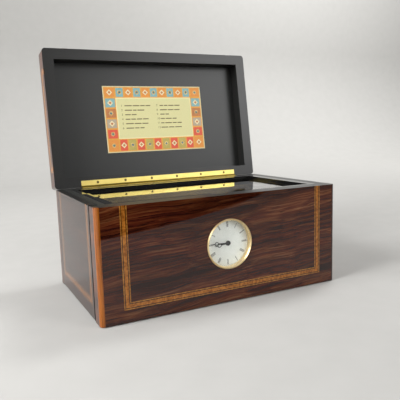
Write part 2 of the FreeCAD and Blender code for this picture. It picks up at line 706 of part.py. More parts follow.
def clock_nodes():
    """Bezel, lens, dial, hands, movement and setting knob."""
    body_y = FRONT + DIAL_DEPTH + DIAL_T
    bevel = BEZEL_PROUD / 2
    profile = [V(BEZEL_BORE_R, 0, 0), V(BEZEL_LIP_R, -BEZEL_PROUD, 0), V(BEZEL_R - bevel, -BEZEL_PROUD, 0),
               V(BEZEL_R, -bevel, 0), V(BEZEL_R, 0, 0), V(BEZEL_TUBE_R, 0, 0),
               V(BEZEL_TUBE_R, DIAL_DEPTH + DIAL_T, 0), V(BEZEL_BORE_R, DIAL_DEPTH + DIAL_T, 0)]
    bezel = Part.Face(Part.makePolygon(profile + profile[:1])).revolve(V(0, 0, 0), Y_AXIS, 360)
    minute_depth = DIAL_DEPTH - MINUTE_HAND_LIFT
    hour_depth = DIAL_DEPTH - HOUR_HAND_LIFT
    dial = rod_y(BEZEL_BORE_R, FRONT + DIAL_DEPTH, body_y, 0, CLOCK_Z)
    body = rod_y(CLOCK_BODY_R, body_y, body_y + CLOCK_BODY_T, 0, CLOCK_Z)
    tube_y1 = body_y + HOUR_TUBE_L
    tube = rod_y(HOUR_TUBE_R, FRONT + hour_depth - HAND_T, tube_y1, 0, CLOCK_Z)
    knob_y1 = body_y + CLOCK_BODY_T + KNOB_T
    arbor = rod_y(MINUTE_ARBOR_R, FRONT + minute_depth - HAND_T, knob_y1, 0, CLOCK_Z)
    minute_degrees = DEGREES_PER_MINUTE * MINUTES_PAST
    minute = clock_hand(MINUTE_L, minute_depth, minute_degrees)
    hour = clock_hand(HOUR_L, hour_depth, DEGREES_PER_HOUR * (HOURS + minute_degrees / 360.0))
    knob = rod_y(KNOB_R, body_y + CLOCK_BODY_T + RUN, knob_y1, 0, CLOCK_Z)
    tube_room = rod_y(HOUR_TUBE_R + RUN, FRONT, tube_y1 + RUN, 0, CLOCK_Z)
    arbor_room = rod_y(MINUTE_ARBOR_R + RUN, FRONT, body_y + CLOCK_BODY_T, 0, CLOCK_Z)
    return {
        "clock_bezel": placed(bezel, 0, FRONT, CLOCK_Z),
        "clock_lens": rod_y(BEZEL_BORE_R, FRONT + LENS_DEPTH, FRONT + LENS_DEPTH + LENS_T, 0, CLOCK_Z),
        "clock_dial": dial.cut(rod_y(HOUR_TUBE_R + DIAL_HOLE_CLEAR, FRONT, body_y, 0, CLOCK_Z)),
        "clock_movement": body.cut([tube_room, arbor_room]),
        "clock_hour_hand": fuse(hour, tube).cut(arbor_room),
        "clock_minute_hand": fuse(minute, arbor),
        "clock_setting_knob": knob.cut(rod_y(MINUTE_ARBOR_R, body_y, knob_y1, 0, CLOCK_Z)),
    }


# Gears
def gear(teeth, module, x0, x1, y, z, degrees, bore_r):
    """A spur gear along X with the middle of a tooth at an angle from +Y towards +Z."""
    pitch_r = teeth * module / 2
    base_r = pitch_r * math.cos(PRESSURE)

    def half_angle(radius):
        lean = math.acos(min(1.0, base_r / radius))
        return (math.pi / 2 / teeth - BACKLASH_RATIO * module / pitch_r / 2
                + math.tan(PRESSURE) - PRESSURE - math.tan(lean) + lean)

    radii = (pitch_r - DEDENDUM_RATIO * module, pitch_r, pitch_r + ADDENDUM_RATIO * module)
    points = []
    for n in range(teeth):
        middle = math.radians(degrees) + 2 * math.pi * n / teeth
        flank = [(r, middle - half_angle(r)) for r in radii]
        flank += [(r, middle + half_angle(r)) for r in radii[::-1]]
        points += [V(x0, y + r * math.cos(a), z + r * math.sin(a)) for r, a in flank]
    return prism(points, V(x1 - x0, 0, 0)).cut(rod_x(bore_r, x0, x1, y, z))


def bracket(x0, y, z, half, eye_r, bore_r):
    """An upright plate on the bedplate with a round eye for an arbor."""
    foot = [V(x0, y - half, BED_TOP), V(x0, y + half, BED_TOP), V(x0, y + eye_r, z), V(x0, y - eye_r, z)]
    plate = fuse(prism(foot, V(BRACKET_T, 0, 0)), rod_x(eye_r, x0, x0 + BRACKET_T, y, z))
    return plate.cut(rod_x(bore_r, x0, x0 + BRACKET_T, y, z))


# Tune cylinder, comb and bedplate
def bed_screws():
    """Four slotted screws that hold the bedplate to the sound board."""
    screw = cheese_screw(BED_SCREW_R, BED_T + BOARD_T, BED_SCREW_HEAD_R, BED_SCREW_HEAD_T)
    return [placed(screw, x, y, BED_TOP) for x in (BED_X0 + BED_SCREW_IN, BED_X1 - BED_SCREW_IN)
            for y in (BED_Y0 + BED_SCREW_IN, BED_Y1 - BED_SCREW_IN)]


def comb_screws():
    """The row of slotted screws through the comb's body into its base."""
    screw = cheese_screw(COMB_SCREW_R, COMB_T + COMB_BODY_L / 2, COMB_SCREW_HEAD_R, COMB_SCREW_HEAD_T)
    pitch = (COMB_X1 - COMB_X0) / COMB_SCREWS
    return [placed(screw, COMB_X0 + (n + 0.5) * pitch, COMB_Y0 + COMB_BODY_L / 2, COMB_Z0 + COMB_T)
            for n in range(COMB_SCREWS)]


def comb_nodes():
    """The steel comb with its longest teeth at the left, and its base."""
    tip_y = COMB_Y0 + COMB_BODY_L + COMB_BASS_L
    outline = [V(COMB_X0, COMB_Y0, COMB_Z0), V(COMB_X1, COMB_Y0, COMB_Z0)]
    for n in range(TEETH - 1, -1, -1):
        root_y = tip_y - COMB_BASS_L + (COMB_BASS_L - COMB_TREBLE_L) * n / (TEETH - 1)
        left = COMB_X0 + n * TOOTH_PITCH + TOOTH_SLOT / 2
        right = left + TOOTH_PITCH - TOOTH_SLOT
        tooth = ((right, root_y), (right, tip_y), (left, tip_y), (left, root_y))
        outline += [V(x, y, COMB_Z0) for x, y in tooth]
    base = box(COMB_X0, COMB_X1, COMB_Y0, COMB_Y0 + COMB_BODY_L, BED_TOP, COMB_Z0)
    return {
        "comb": prism(outline, V(0, 0, COMB_T)).cut(comb_screws()),
        "comb_base": base.cut(comb_screws()),
    }


def cylinder_nodes():
    """The hollow tune cylinder, its arbor with the pinion, the great wheel and the brackets."""
    shell = rod_x(CYL_R, CYL_X0, CYL_X1, CYL_Y, CYL_Z)
    shell = shell.cut(rod_x(CYL_R - CYL_WALL, CYL_X0 + CYL_CAP_T, CYL_X1 - CYL_CAP_T, CYL_Y, CYL_Z))
    to_barrel = math.degrees(math.atan2(BARREL_Z - CYL_Z, BARREL_Y - CYL_Y))
    pinion_x0 = BARREL_GEAR_X0 - PINION_OVERHANG
    pinion = gear(CYL_PINION_TEETH, BARREL_MODULE, pinion_x0, BARREL_GEAR_X1 + PINION_OVERHANG, CYL_Y, CYL_Z,
                  to_barrel + 180.0 / CYL_PINION_TEETH, CYL_ARBOR_R)
    arbor = rod_x(CYL_ARBOR_R, pinion_x0, CYL_BRACKET_X[1] + BRACKET_T, CYL_Y, CYL_Z)
    brackets = [bracket(x, CYL_Y, CYL_Z, CYL_BRACKET_HALF, CYL_BRACKET_EYE_R, CYL_ARBOR_R + RUN)
                for x in CYL_BRACKET_X]
    return {
        "tune_cylinder": shell.cut(rod_x(CYL_ARBOR_R + RUN, CYL_X0, CYL_X1, CYL_Y, CYL_Z)),
        "cylinder_arbor": fuse(arbor, pinion),
        "great_wheel": gear(GREAT_TEETH, TRAIN_MODULE, GREAT_X0, GREAT_X1, CYL_Y, CYL_Z, GOV_ANGLE,
                            CYL_ARBOR_R),
        "cylinder_brackets": Part.makeCompound(brackets),
        "bedplate": box(BED_X0, BED_X1, BED_Y0, BED_Y1, BOARD_TOP, BED_TOP).cut(bed_screws()),
        "movement_screws": Part.makeCompound(bed_screws() + comb_screws()),
    }


# Spring barrel and winding work
def mainspring():
    """A flat spiral from the arbor out to the barrel's wall."""
    inner = WIND_ARBOR_R + SPRING_CLEAR
    outer = BARREL_OUT_R - BARREL_WALL - SPRING_CLEAR - SPRING_T
    steps = SPRING_TURNS * SPRING_STEPS
    edges = []
    for extra in (0.0, SPRING_T):
        line = []
        for n in range(steps + 1):
            angle = 2 * math.pi * SPRING_TURNS * n / steps
            radius = inner + (outer - inner) * n / steps + extra
            line.append(V(BARREL_X0 + BARREL_WALL + SPRING_CLEAR,
                          BARREL_Y + radius * math.cos(angle), BARREL_Z + radius * math.sin(angle)))
        curve = Part.BSplineCurve()
        curve.interpolate(line)
        edges.append(curve.toShape())
    ends = [Part.makeLine(edges[0].valueAt(e), edges[1].valueAt(f))
            for e, f in zip(edges[0].ParameterRange, edges[1].ParameterRange)]
    outline = Part.Wire(Part.__sortEdges__(edges + ends))
    print("mainspring gap to itself", round((outer - inner) / SPRING_TURNS - SPRING_T, 2), "mm")
    return Part.Face(outline).extrude(V(BARREL_L - BARREL_WALL - 2 * SPRING_CLEAR, 0, 0))


def click_places():
    """The click's pivot and the middle of its rounded tip, in Y and Z."""
    tip_r = RATCHET_R + CLICK_TIP_GAP + CLICK_HALF_W
    angle = math.radians(CLICK_TIP_ANGLE)
    pivot = (BARREL_Y - CLICK_PIVOT_OUT, BARREL_Z - CLICK_PIVOT_DEPTH)
    return pivot, (BARREL_Y + tip_r * math.cos(angle), BARREL_Z + tip_r * math.sin(angle))


def ratchet_click():
    """A rounded bar from its post to the ratchet wheel."""
    (y0, z0), (y1, z1) = click_places()
    length = math.hypot(y1 - y0, z1 - z0)
    side = V(0, z0 - z1, y1 - y0) * (CLICK_HALF_W / length)
    start = V(RATCHET_X0, y0, z0)
    end = V(RATCHET_X0, y1, z1)
    arm = prism([start + side, end + side, end - side, start - side], V(RATCHET_T, 0, 0))
    eye = rod_x(CLICK_HALF_W + CLICK_PIN_R, RATCHET_X0, RATCHET_X1, y0, z0)
    tip = rod_x(CLICK_HALF_W, RATCHET_X0, RATCHET_X1, y1, z1)
    return fuse(arm, eye, tip).cut(rod_x(CLICK_PIN_R + RUN, RATCHET_X0, RATCHET_X1, y0, z0))


def ratchet_wheel():
    """A wheel with saw teeth, fast on the winding arbor."""
    points = []
    for n in range(RATCHET_TEETH):
        angle = 2 * math.pi * n / RATCHET_TEETH
        for radius in (RATCHET_R - RATCHET_TOOTH_H, RATCHET_R):
            points.append(V(RATCHET_X0, BARREL_Y + radius * math.cos(angle),
                            BARREL_Z + radius * math.sin(angle)))
    wheel = prism(points, V(RATCHET_T, 0, 0))
    return wheel.cut(rod_x(WIND_ARBOR_R, RATCHET_X0, RATCHET_X1, BARREL_Y, BARREL_Z))


def winding_key():
    """A butterfly key on the winding arbor's end."""
    hub = rod_x(KEY_HUB_R, KEY_X0, KEY_X1, BARREL_Y, BARREL_Z)
    lobe_x = KEY_X0 + KEY_LOBE_R
    y0 = BARREL_Y - KEY_T / 2
    places = (BARREL_Z - KEY_LOBE_OUT, BARREL_Z + KEY_LOBE_OUT)
    lobes = [rod_y(KEY_LOBE_R, y0, y0 + KEY_T, lobe_x, z) for z in places]
    holes = [rod_y(KEY_LOBE_HOLE_R, y0, y0 + KEY_T, lobe_x, z) for z in places]
    socket = rod_x(WIND_ARBOR_R, KEY_X0 + KEY_WALL, KEY_X1, BARREL_Y, BARREL_Z)
    return fuse(hub, *lobes).cut(holes + [socket])


def barrel_nodes():
    """The barrel with its gear cover and spring, the winding arbor, key, ratchet and brackets."""
    drum = rod_x(BARREL_OUT_R, BARREL_X0, BARREL_GEAR_X0, BARREL_Y, BARREL_Z)
    hollow = rod_x(BARREL_OUT_R - BARREL_WALL, BARREL_X0 + BARREL_WALL, BARREL_GEAR_X0, BARREL_Y, BARREL_Z)
    bore = rod_x(WIND_ARBOR_R + RUN, BARREL_X0, BARREL_GEAR_X0, BARREL_Y, BARREL_Z)
    to_cylinder = math.degrees(math.atan2(CYL_Z - BARREL_Z, CYL_Y - BARREL_Y))
    brackets = [bracket(x, BARREL_Y, BARREL_Z, BARREL_BRACKET_HALF, BARREL_BRACKET_EYE_R, WIND_ARBOR_R + RUN)
                for x in BARREL_BRACKET_X]
    pivot_y, pivot_z = click_places()[0]
    click_post = rod_x(CLICK_PIN_R, RATCHET_X0, BARREL_BRACKET_X[0] + BRACKET_T, pivot_y, pivot_z)
    brackets[0] = fuse(brackets[0], click_post)
    return {
        "spring_barrel": drum.cut([hollow, bore]),
        "barrel_gear": gear(BARREL_TEETH, BARREL_MODULE, BARREL_GEAR_X0, BARREL_GEAR_X1, BARREL_Y, BARREL_Z,
                            to_cylinder, WIND_ARBOR_R + RUN),
        "mainspring": mainspring(),
        "barrel_brackets": Part.makeCompound(brackets),
        "winding_arbor": rod_x(WIND_ARBOR_R, KEY_X0 + KEY_WALL, BARREL_BRACKET_X[1] + BRACKET_T,
                               BARREL_Y, BARREL_Z),
        "winding_key": winding_key(),
        "ratchet_wheel": ratchet_wheel(),
        "ratchet_click": ratchet_click(),
    }


# Governor with its endless screw and fly
def endless_screw():
    """A single right-handed thread on an upright arbor, with a gap facing the worm wheel's tooth."""
    crest = WORM_PITCH * WORM_CREST_RATIO
    root = WORM_PITCH * WORM_FOOT_RATIO
    inner = WORM_ROOT_R - WORM_SINK
    tip = WORM_ROOT_R + 2 * TRAIN_MODULE * ADDENDUM_RATIO
    length = WORM_TURNS * WORM_PITCH
    helix = Part.makeHelix(WORM_PITCH, length, inner)
    outline = [V(inner, 0, -root / 2), V(tip, 0, -crest / 2), V(tip, 0, crest / 2), V(inner, 0, root / 2)]
    thread = Part.Wire(helix).makePipeShell([Part.makePolygon(outline + outline[:1])], True, True)
    core = rod_z(WORM_ROOT_R, -WORM_PITCH, length + WORM_PITCH, 0, 0)
    worm = core.fuse(thread)
    worm.translate(V(WORM_X, WORM_Y, GOV_Z - length / 2 - WORM_PITCH / 4))
    foot = BED_TOP + GOV_PLATE_T - WORM_PIVOT_IN
    arbor = rod_z(WORM_ARBOR_R, foot, GOV_ARM_Z + GOV_ARM_T, WORM_X, WORM_Y)
    return worm.fuse(arbor)


def governor_frame():
    """A plate on the bed with two cocks for the wheel and a post and arm for the endless screw."""
    x1 = GOV_COCK_X1 + GOV_COCK_T
    plate_top = BED_TOP + GOV_PLATE_T
    y0 = GOV_Y - GOV_COCK_HALF
    plate = box(GOV_COCK_X0, x1, y0, GOV_POST_Y + GOV_POST_T, BED_TOP, plate_top)
    cocks = [box(x, x + GOV_COCK_T, y0, GOV_Y + GOV_COCK_HALF, BED_TOP, GOV_Z + GOV_EYE_OVER)
             for x in (GOV_COCK_X0, GOV_COCK_X1)]
    post = box(GOV_COCK_X0, x1, GOV_POST_Y, GOV_POST_Y + GOV_POST_T, BED_TOP, GOV_ARM_Z + GOV_ARM_T)
    arm = box(WORM_X - GOV_ARM_T, WORM_X + GOV_ARM_T, WORM_Y - GOV_ARM_T, GOV_POST_Y + GOV_POST_T,
              GOV_ARM_Z, GOV_ARM_Z + GOV_ARM_T)
    foot = plate_top - WORM_PIVOT_IN - RUN
    bores = [rod_x(GOV_ARBOR_R + RUN, GOV_COCK_X0, x1, GOV_Y, GOV_Z),
             rod_z(WORM_ARBOR_R + RUN, foot, GOV_ARM_Z + GOV_ARM_T, WORM_X, WORM_Y)]
    return fuse(plate, post, arm, *cocks).cut(bores)


def governor_nodes():
    """The frame, the pinion and worm wheel on one arbor, the endless screw and its fly."""
    x0 = GREAT_X0 - PINION_OVERHANG / 2
    x1 = GREAT_X1 + PINION_OVERHANG / 2
    pinion = gear(GOV_PINION_TEETH, TRAIN_MODULE, x0, x1, GOV_Y, GOV_Z,
                  GOV_ANGLE + 180.0 + 180.0 / GOV_PINION_TEETH, GOV_ARBOR_R)
    arbor = rod_x(GOV_ARBOR_R, x0, GOV_COCK_X1 + GOV_COCK_T, GOV_Y, GOV_Z)
    wheel_x0 = WORM_X - WORM_WHEEL_T / 2
    fly_z1 = GOV_ARM_Z - FLY_UNDER_ARM
    vane = box(WORM_X - FLY_R, WORM_X + FLY_R, WORM_Y - FLY_T / 2, WORM_Y + FLY_T / 2, fly_z1 - FLY_H, fly_z1)
    hub = rod_z(FLY_HUB_R, fly_z1 - FLY_H, fly_z1, WORM_X, WORM_Y)
    bore = rod_z(WORM_ARBOR_R, fly_z1 - FLY_H, fly_z1, WORM_X, WORM_Y)
    return {
        "governor_frame": governor_frame(),
        "governor_pinion": fuse(arbor, pinion),
        "worm_wheel": gear(WORM_WHEEL_TEETH, TRAIN_MODULE, wheel_x0, wheel_x0 + WORM_WHEEL_T,
                           GOV_Y, GOV_Z, 0.0, GOV_ARBOR_R),
        "endless_screw": endless_screw(),
        "governor_fly": fuse(vane, hub).cut(bore),
    }


# Control levers
def lever(y):
    """A flat lever along X with a knob at its left end."""
    z0 = BED_TOP + LEVER_LIFT
    z1 = z0 + LEVER_T
    left = LEVER_X - LEVER_LEFT
    right = LEVER_X + LEVER_RIGHT
    bar = box(left, right, y - LEVER_HALF_W, y + LEVER_HALF_W, z0, z1)
    ends = [rod_z(LEVER_HALF_W, z0, z1, x, y) for x in (left, right)]
    knob = rod_z(LEVER_KNOB_R, z0, z1 + LEVER_KNOB_H, left, y)
    return fuse(bar, knob, *ends).cut(rod_z(LEVER_POST_R + RUN, z0, z1, LEVER_X, y))


def lever_post(y):
    """A shouldered post with a cap, on which a lever turns."""
    z0 = BED_TOP + LEVER_LIFT - LEVER_POST_GAP
    z1 = BED_TOP + LEVER_LIFT + LEVER_T + LEVER_POST_GAP
    return fuse(rod_z(LEVER_POST_FLANGE_R, BED_TOP, z0, LEVER_X, y),
                rod_z(LEVER_POST_R, z0, z1, LEVER_X, y),
                rod_z(LEVER_POST_FLANGE_R, z1, z1 + LEVER_POST_CAP_T, LEVER_X, y))


def lever_nodes():
    """The start and change levers and their posts."""
    return {
        "start_lever": lever(LEVER_Y[0]),
        "change_lever": lever(LEVER_Y[1]),
        "lever_posts": Part.makeCompound([lever_post(y) for y in LEVER_Y]),
    }


def main():
    """Build every piece and write one file for each."""
    os.makedirs("parts", exist_ok=True)
    nodes = {}
    for group in (case_nodes, glass_lid_nodes, lid_nodes, clock_nodes, cylinder_nodes, comb_nodes,
                  barrel_nodes, governor_nodes, lever_nodes):
        nodes.update(group())
    for name, shape in nodes.items():
        shape.exportStep("parts/" + name + ".step")
    print(len(nodes), "pieces written")


main()
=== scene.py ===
"""Looks of a veneered cylinder music box with a clock in its front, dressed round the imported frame.

Lengths are in metres; MM turns a real size in millimetres into them. X runs right, Y back and Z up.
"""
import json
import logging
import math
from dataclasses import dataclass
from enum import Enum
from typing import Any

import bpy
import numpy as np
from mathutils import Matrix, Vector


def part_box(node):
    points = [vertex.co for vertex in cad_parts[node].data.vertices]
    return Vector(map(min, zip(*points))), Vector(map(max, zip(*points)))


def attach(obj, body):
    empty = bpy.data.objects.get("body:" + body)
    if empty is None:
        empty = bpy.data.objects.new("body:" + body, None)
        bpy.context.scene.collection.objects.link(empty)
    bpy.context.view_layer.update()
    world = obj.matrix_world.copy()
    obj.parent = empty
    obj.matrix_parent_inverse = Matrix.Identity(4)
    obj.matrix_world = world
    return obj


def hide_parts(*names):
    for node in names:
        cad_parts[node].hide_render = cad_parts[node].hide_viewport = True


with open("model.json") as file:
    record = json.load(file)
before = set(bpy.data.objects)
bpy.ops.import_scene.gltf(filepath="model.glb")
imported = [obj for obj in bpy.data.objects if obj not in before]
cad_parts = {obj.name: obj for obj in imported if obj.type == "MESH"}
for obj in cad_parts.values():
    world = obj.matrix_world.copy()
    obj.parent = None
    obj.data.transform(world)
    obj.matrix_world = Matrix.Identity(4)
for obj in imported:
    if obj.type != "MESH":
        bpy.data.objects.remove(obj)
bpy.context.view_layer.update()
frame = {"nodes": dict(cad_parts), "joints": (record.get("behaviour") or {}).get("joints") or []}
LOG = logging.getLogger("music_box")
MM = 0.001
# Patterns read coordinates in metres, and this many millimetres go into one
PER_MM = 1000.0
# How strongly each finer octave of a streak shows
OCTAVE_SHARE = 0.62

Vec = tuple[float, float, float]
Pair = tuple[float, float]
Stops = list[tuple[float, str]]
Tree = bpy.types.NodeTree
Node = bpy.types.Node
Socket = bpy.types.NodeSocket

RIGHT: Vec = (1.0, 0.0, 0.0)
LEFT: Vec = (-1.0, 0.0, 0.0)
FRONT: Vec = (0.0, -1.0, 0.0)
BACK: Vec = (0.0, 1.0, 0.0)
UP: Vec = (0.0, 0.0, 1.0)
DOWN: Vec = (0.0, 0.0, -1.0)
SIDES: tuple[Vec, ...] = (RIGHT, LEFT)


class Grain(Enum):
    """The way that a board's grain runs, as an index into X, Y and Z."""

    X = 0
    Y = 1
    Z = 2


def linear(code: str) -> tuple[float, float, float, float]:
    """Turn an sRGB hex colour into linear light, by the standard's own curve.

    Args:
        code: six hex digits after a hash.

    Returns:
        Red, green, blue and an alpha of one.
    """
    parts = np.array([int(code[i:i + 2], 16) / 255.0 for i in (1, 3, 5)])
    light = np.where(parts <= 0.04045, parts / 12.92, ((parts + 0.055) / 1.055) ** 2.4)
    return (*light.tolist(), 1.0)


def add(tree: Tree, kind: str, inputs: dict[Any, Any] | None = None, stops: Stops | None = None,
        **settings: Any) -> Node:
    """Add one shader node with its settings, values and links.

    Args:
        tree: the node tree to add to.
        kind: the node's Blender type without its ShaderNode prefix.
        inputs: an output socket or a plain value for each named or numbered input.
        stops: places and hex colours, for a colour ramp.
        **settings: the node's own properties.

    Returns:
        The new node.
    """
    node = tree.nodes.new("ShaderNode" + kind)
    for key, value in settings.items():
        setattr(node, key, value)
    for key, value in (inputs or {}).items():
        if isinstance(value, bpy.types.NodeSocket):
            tree.links.new(value, node.inputs[key])
        else:
            node.inputs[key].default_value = value
    if stops:
        elements = node.color_ramp.elements
        while len(elements) < len(stops):
            elements.new(1.0)
        for element, (place, code) in zip(elements, stops):
            element.position = place
            element.color = linear(code)
    return node


def feeding(shader: Node, name: str) -> Socket:
    """The socket that feeds one of a shader's inputs."""
    return shader.inputs[name].links[0].from_socket


def streaks(tree: Tree, along: Grain, stretch: float, width_mm: float, detail: float, warp_mm: float = 0.0,
            warp_width_mm: float = 120.0, tilt_deg: float = 0.0) -> Socket:
    """Noise drawn out along a grain: object coordinates in millimetres, divided by stretch that way.

    Args:
        tree: the material's node tree.
        along: the grain's direction.
        stretch: how many times longer than wide a streak is.
        width_mm: the width of a streak.
        detail: octaves of finer streaks.
        warp_mm: how far slow waves push the streaks sideways.
        warp_width_mm: the length of those waves.
        tilt_deg: how far the streaks climb to the right, turned about Y.

    Returns:
        The noise's value socket.
    """
    coords = add(tree, "TexCoord").outputs["Object"]
    if tilt_deg:
        turn = (0.0, math.radians(tilt_deg), 0.0)
        coords = add(tree, "Mapping", {"Vector": coords, "Rotation": turn}).outputs["Vector"]
    scale = [PER_MM] * 3
    scale[along.value] = PER_MM / stretch
    vector = add(tree, "Mapping", {"Vector": coords, "Scale": scale}).outputs["Vector"]
    if warp_mm:
        waves = add(tree, "TexNoise", {"Vector": coords, "Scale": PER_MM / warp_width_mm, "Detail": 2.0})
        push = [warp_mm] * 3
        push[along.value] = 0.0
        vector = add(tree, "VectorMath", {0: waves.outputs["Color"], 1: push, 2: vector},
                     operation="MULTIPLY_ADD").outputs["Vector"]
    return add(tree, "TexNoise", {"Vector": vector, "Scale": 1.0 / width_mm, "Detail": detail,
                                  "Roughness": OCTAVE_SHARE}).outputs["Fac"]


def bump(tree: Tree, shader: Node, height: Socket, mm: float) -> None:
    """Press a height of so many millimetres into a shader's normal."""
    made = add(tree, "Bump", {"Height": height, "Strength": 1.0, "Distance": mm * MM})
    tree.links.new(made.outputs["Normal"], shader.inputs["Normal"])


# Kinds of finish

@dataclass(frozen=True)
class Finish:
    """A surface as it was made, with the shader values that it has all over."""

    name: str
    color: str
    roughness: float = 0.5
    metallic: float = 0.0
    coat: float = 0.0
    coat_roughness: float = 0.03
    specular: float = 0.5
    transmission: float = 0.0
    ior: float = 1.5

    def material(self) -> bpy.types.Material:
        """Make the material, or find it if it was made before.

        Returns:
            The Blender material of this finish.
        """
        found = bpy.data.materials.get(self.name)
        if found:
            return found
        made = bpy.data.materials.new(self.name)
        made.use_nodes = True
        tree = made.node_tree
        shader = tree.nodes["Principled BSDF"]
        values = {"Base Color": linear(self.color), "Roughness": self.roughness, "Metallic": self.metallic,
                  "Coat Weight": self.coat, "Coat Roughness": self.coat_roughness, "IOR": self.ior,
                  "Specular IOR Level": self.specular, "Transmission Weight": self.transmission}
        for key, value in values.items():
            shader.inputs[key].default_value = value
        self.pattern(tree, shader)
        return made

    def pattern(self, tree: Tree, shader: Node) -> None:
        """Add what this kind of surface shows to a material's tree and shader; a plain one adds nothing."""


@dataclass(frozen=True)
class ClearGlass(Finish):
    """Polished float glass: clear and sharply mirroring, and lamps shine through it."""

    def pattern(self, tree: Tree, shader: Node) -> None:
        """Let the rays that look for lamps pass straight through.

        Args:
            tree: the material's node tree.
            shader: the material's shader.
        """
        clear = add(tree, "BsdfTransparent", {"Color": linear(self.color)})
        lamp_ray = add(tree, "LightPath").outputs["Is Shadow Ray"]
        both = add(tree, "MixShader", {0: lamp_ray, 1: shader.outputs["BSDF"], 2: clear.outputs["BSDF"]})
        tree.links.new(both.outputs["Shader"], tree.nodes["Material Output"].inputs["Surface"])


@dataclass(frozen=True)
class RosewoodVeneer(Finish):
    """Dark rosewood veneer under polished lacquer: wavy brown streaks deep in a mirror-like gloss.

    Only faces that look along one of the outward directions are veneered; faces that look along the bare
    direction show plain wood, and the other edges and rims are lacquered black.
    """

    grain: Grain = Grain.X
    tilt_deg: float = 0.0
    tones: tuple[tuple[float, str], ...] = ((0.34, "#200906"), (0.43, "#3b130b"), (0.5, "#562512"),
                                            (0.57, "#6b3c20"), (0.68, "#855d40"))
    figure_mm: float = 9.0
    figure_share: float = 0.45
    streak_mm: float = 2.0
    wave_mm: float = 20.0
    cloud_mm: float = 20.0
    cloud_span: Pair = (0.36, 0.62)
    # Tones laid over the wood in slow patches; darker ones, as on the flap, are painted shade
    clouds: tuple[str, str] = ("#a69c9a", "#ffffff")
    # Real pores are finer than the render can show, so these are drawn wider
    pore_mm: float = 0.9
    pore_span: Pair = (0.56, 0.66)
    pore_depth: float = 0.6
    pore_color: str = "#0e0402"
    outward: tuple[Vec, ...] = ()
    facing: float = 0.3
    reach: float = -1.0
    rim_color: str = "#1a1a19"
    rim_roughness: float = 0.36
    rim_specular: float = 0.5
    bare: Vec = (0.0, 0.0, 0.0)
    bare_facing: float = 0.5
    bare_from: float = -150.0 * MM
    bare_color: str = "#a08a58"

    def pattern(self, tree: Tree, shader: Node) -> None:
        """Broad figure and fine streaks, darkened by slow cloud tones and pitted by dark pores.

        Args:
            tree: the material's node tree.
            shader: the material's shader.
        """
        lay = dict(tree=tree, along=self.grain, warp_mm=self.wave_mm, tilt_deg=self.tilt_deg)
        figure = streaks(stretch=24.0, width_mm=self.figure_mm, detail=3.0, **lay)
        fine = streaks(stretch=52.0, width_mm=self.streak_mm, detail=4.0, **lay)
        rest = add(tree, "Math", {0: fine, 1: 1.0 - self.figure_share}, operation="MULTIPLY").outputs[0]
        blend = add(tree, "Math", {0: figure, 1: self.figure_share, 2: rest}, operation="MULTIPLY_ADD")
        wood = add(tree, "ValToRGB", {"Fac": blend.outputs[0]}, list(self.tones))
        drift = streaks(stretch=9.0, width_mm=self.cloud_mm, detail=2.0, **lay)
        shade = add(tree, "ValToRGB", {"Fac": drift}, list(zip(self.cloud_span, self.clouds)))
        wood = add(tree, "Mix", {0: 1.0, 6: wood.outputs["Color"], 7: shade.outputs["Color"]},
                   data_type="RGBA", blend_type="MULTIPLY").outputs[2]
        pores = streaks(stretch=34.0, width_mm=self.pore_mm, detail=2.0, **lay)
        dark = add(tree, "MapRange", {"Value": pores, "From Min": self.pore_span[0],
                                      "From Max": self.pore_span[1], "To Max": self.pore_depth})
        color = add(tree, "Mix", {0: dark.outputs["Result"], 6: wood, 7: linear(self.pore_color)},
                    data_type="RGBA").outputs[2]
        if self.outward:
            color = self.rims(tree, shader, color)
        tree.links.new(color, shader.inputs["Base Color"])

    def outer_faces(self, tree: Tree, coords: Node) -> Socket:
        """Find the veneered faces: normal . way over the facing, and position . way past the reach.

        Args:
            tree: the material's node tree.
            coords: its texture coordinates.

        Returns:
            One on veneered faces and nought on the rest.
        """
        mask = None
        for way in self.outward:
            looks = add(tree, "VectorMath", {0: coords.outputs["Normal"], 1: way}, operation="DOT_PRODUCT")
            lies = add(tree, "VectorMath", {0: coords.outputs["Object"], 1: way}, operation="DOT_PRODUCT")
            tests = [add(tree, "Math", {0: found.outputs["Value"], 1: least}, operation="GREATER_THAN")
                     for found, least in ((looks, self.facing), (lies, self.reach))]
            outer = add(tree, "Math", {n: test.outputs[0] for n, test in enumerate(tests)},
                        operation="MULTIPLY").outputs[0]
            if mask is not None:
                outer = add(tree, "Math", {0: mask, 1: outer}, operation="MAXIMUM").outputs[0]
            mask = outer
        return mask

    def rims(self, tree: Tree, shader: Node, wood: Socket) -> Socket:
        """Keep veneer and polish to outer faces, with satin black rims and plain wood on the bare side.

        Args:
            tree: the material's node tree.
            shader: the material's shader.
            wood: the veneer's colour.

        Returns:
            The colour of veneer, rims and plain wood together.
        """
        coords = add(tree, "TexCoord")
        mask = self.outer_faces(tree, coords)
        tree.links.new(mask, shader.inputs["Coat Weight"])
        for name, rim, veneered in (("Specular IOR Level", self.rim_specular, self.specular),
                                    ("Roughness", self.rim_roughness, self.roughness)):
            level = add(tree, "MapRange", {"Value": mask, "To Min": rim, "To Max": veneered})
            tree.links.new(level.outputs["Result"], shader.inputs[name])
        inward = add(tree, "VectorMath", {0: coords.outputs["Normal"], 1: self.bare}, operation="DOT_PRODUCT")
        place = add(tree, "SeparateXYZ", {0: coords.outputs["Object"]})
        tests = [add(tree, "Math", {0: found, 1: least}, operation="GREATER_THAN")
                 for found, least in ((inward.outputs["Value"], self.bare_facing),
                                      (place.outputs["X"], self.bare_from))]
        plain = add(tree, "Math", {n: test.outputs[0] for n, test in enumerate(tests)}, operation="MULTIPLY")
        rim = add(tree, "Mix", {0: plain.outputs[0], 6: linear(self.rim_color), 7: linear(self.bare_color)},
                  data_type="RGBA").outputs[2]
        return add(tree, "Mix", {0: mask, 6: rim, 7: wood}, data_type="RGBA").outputs[2]


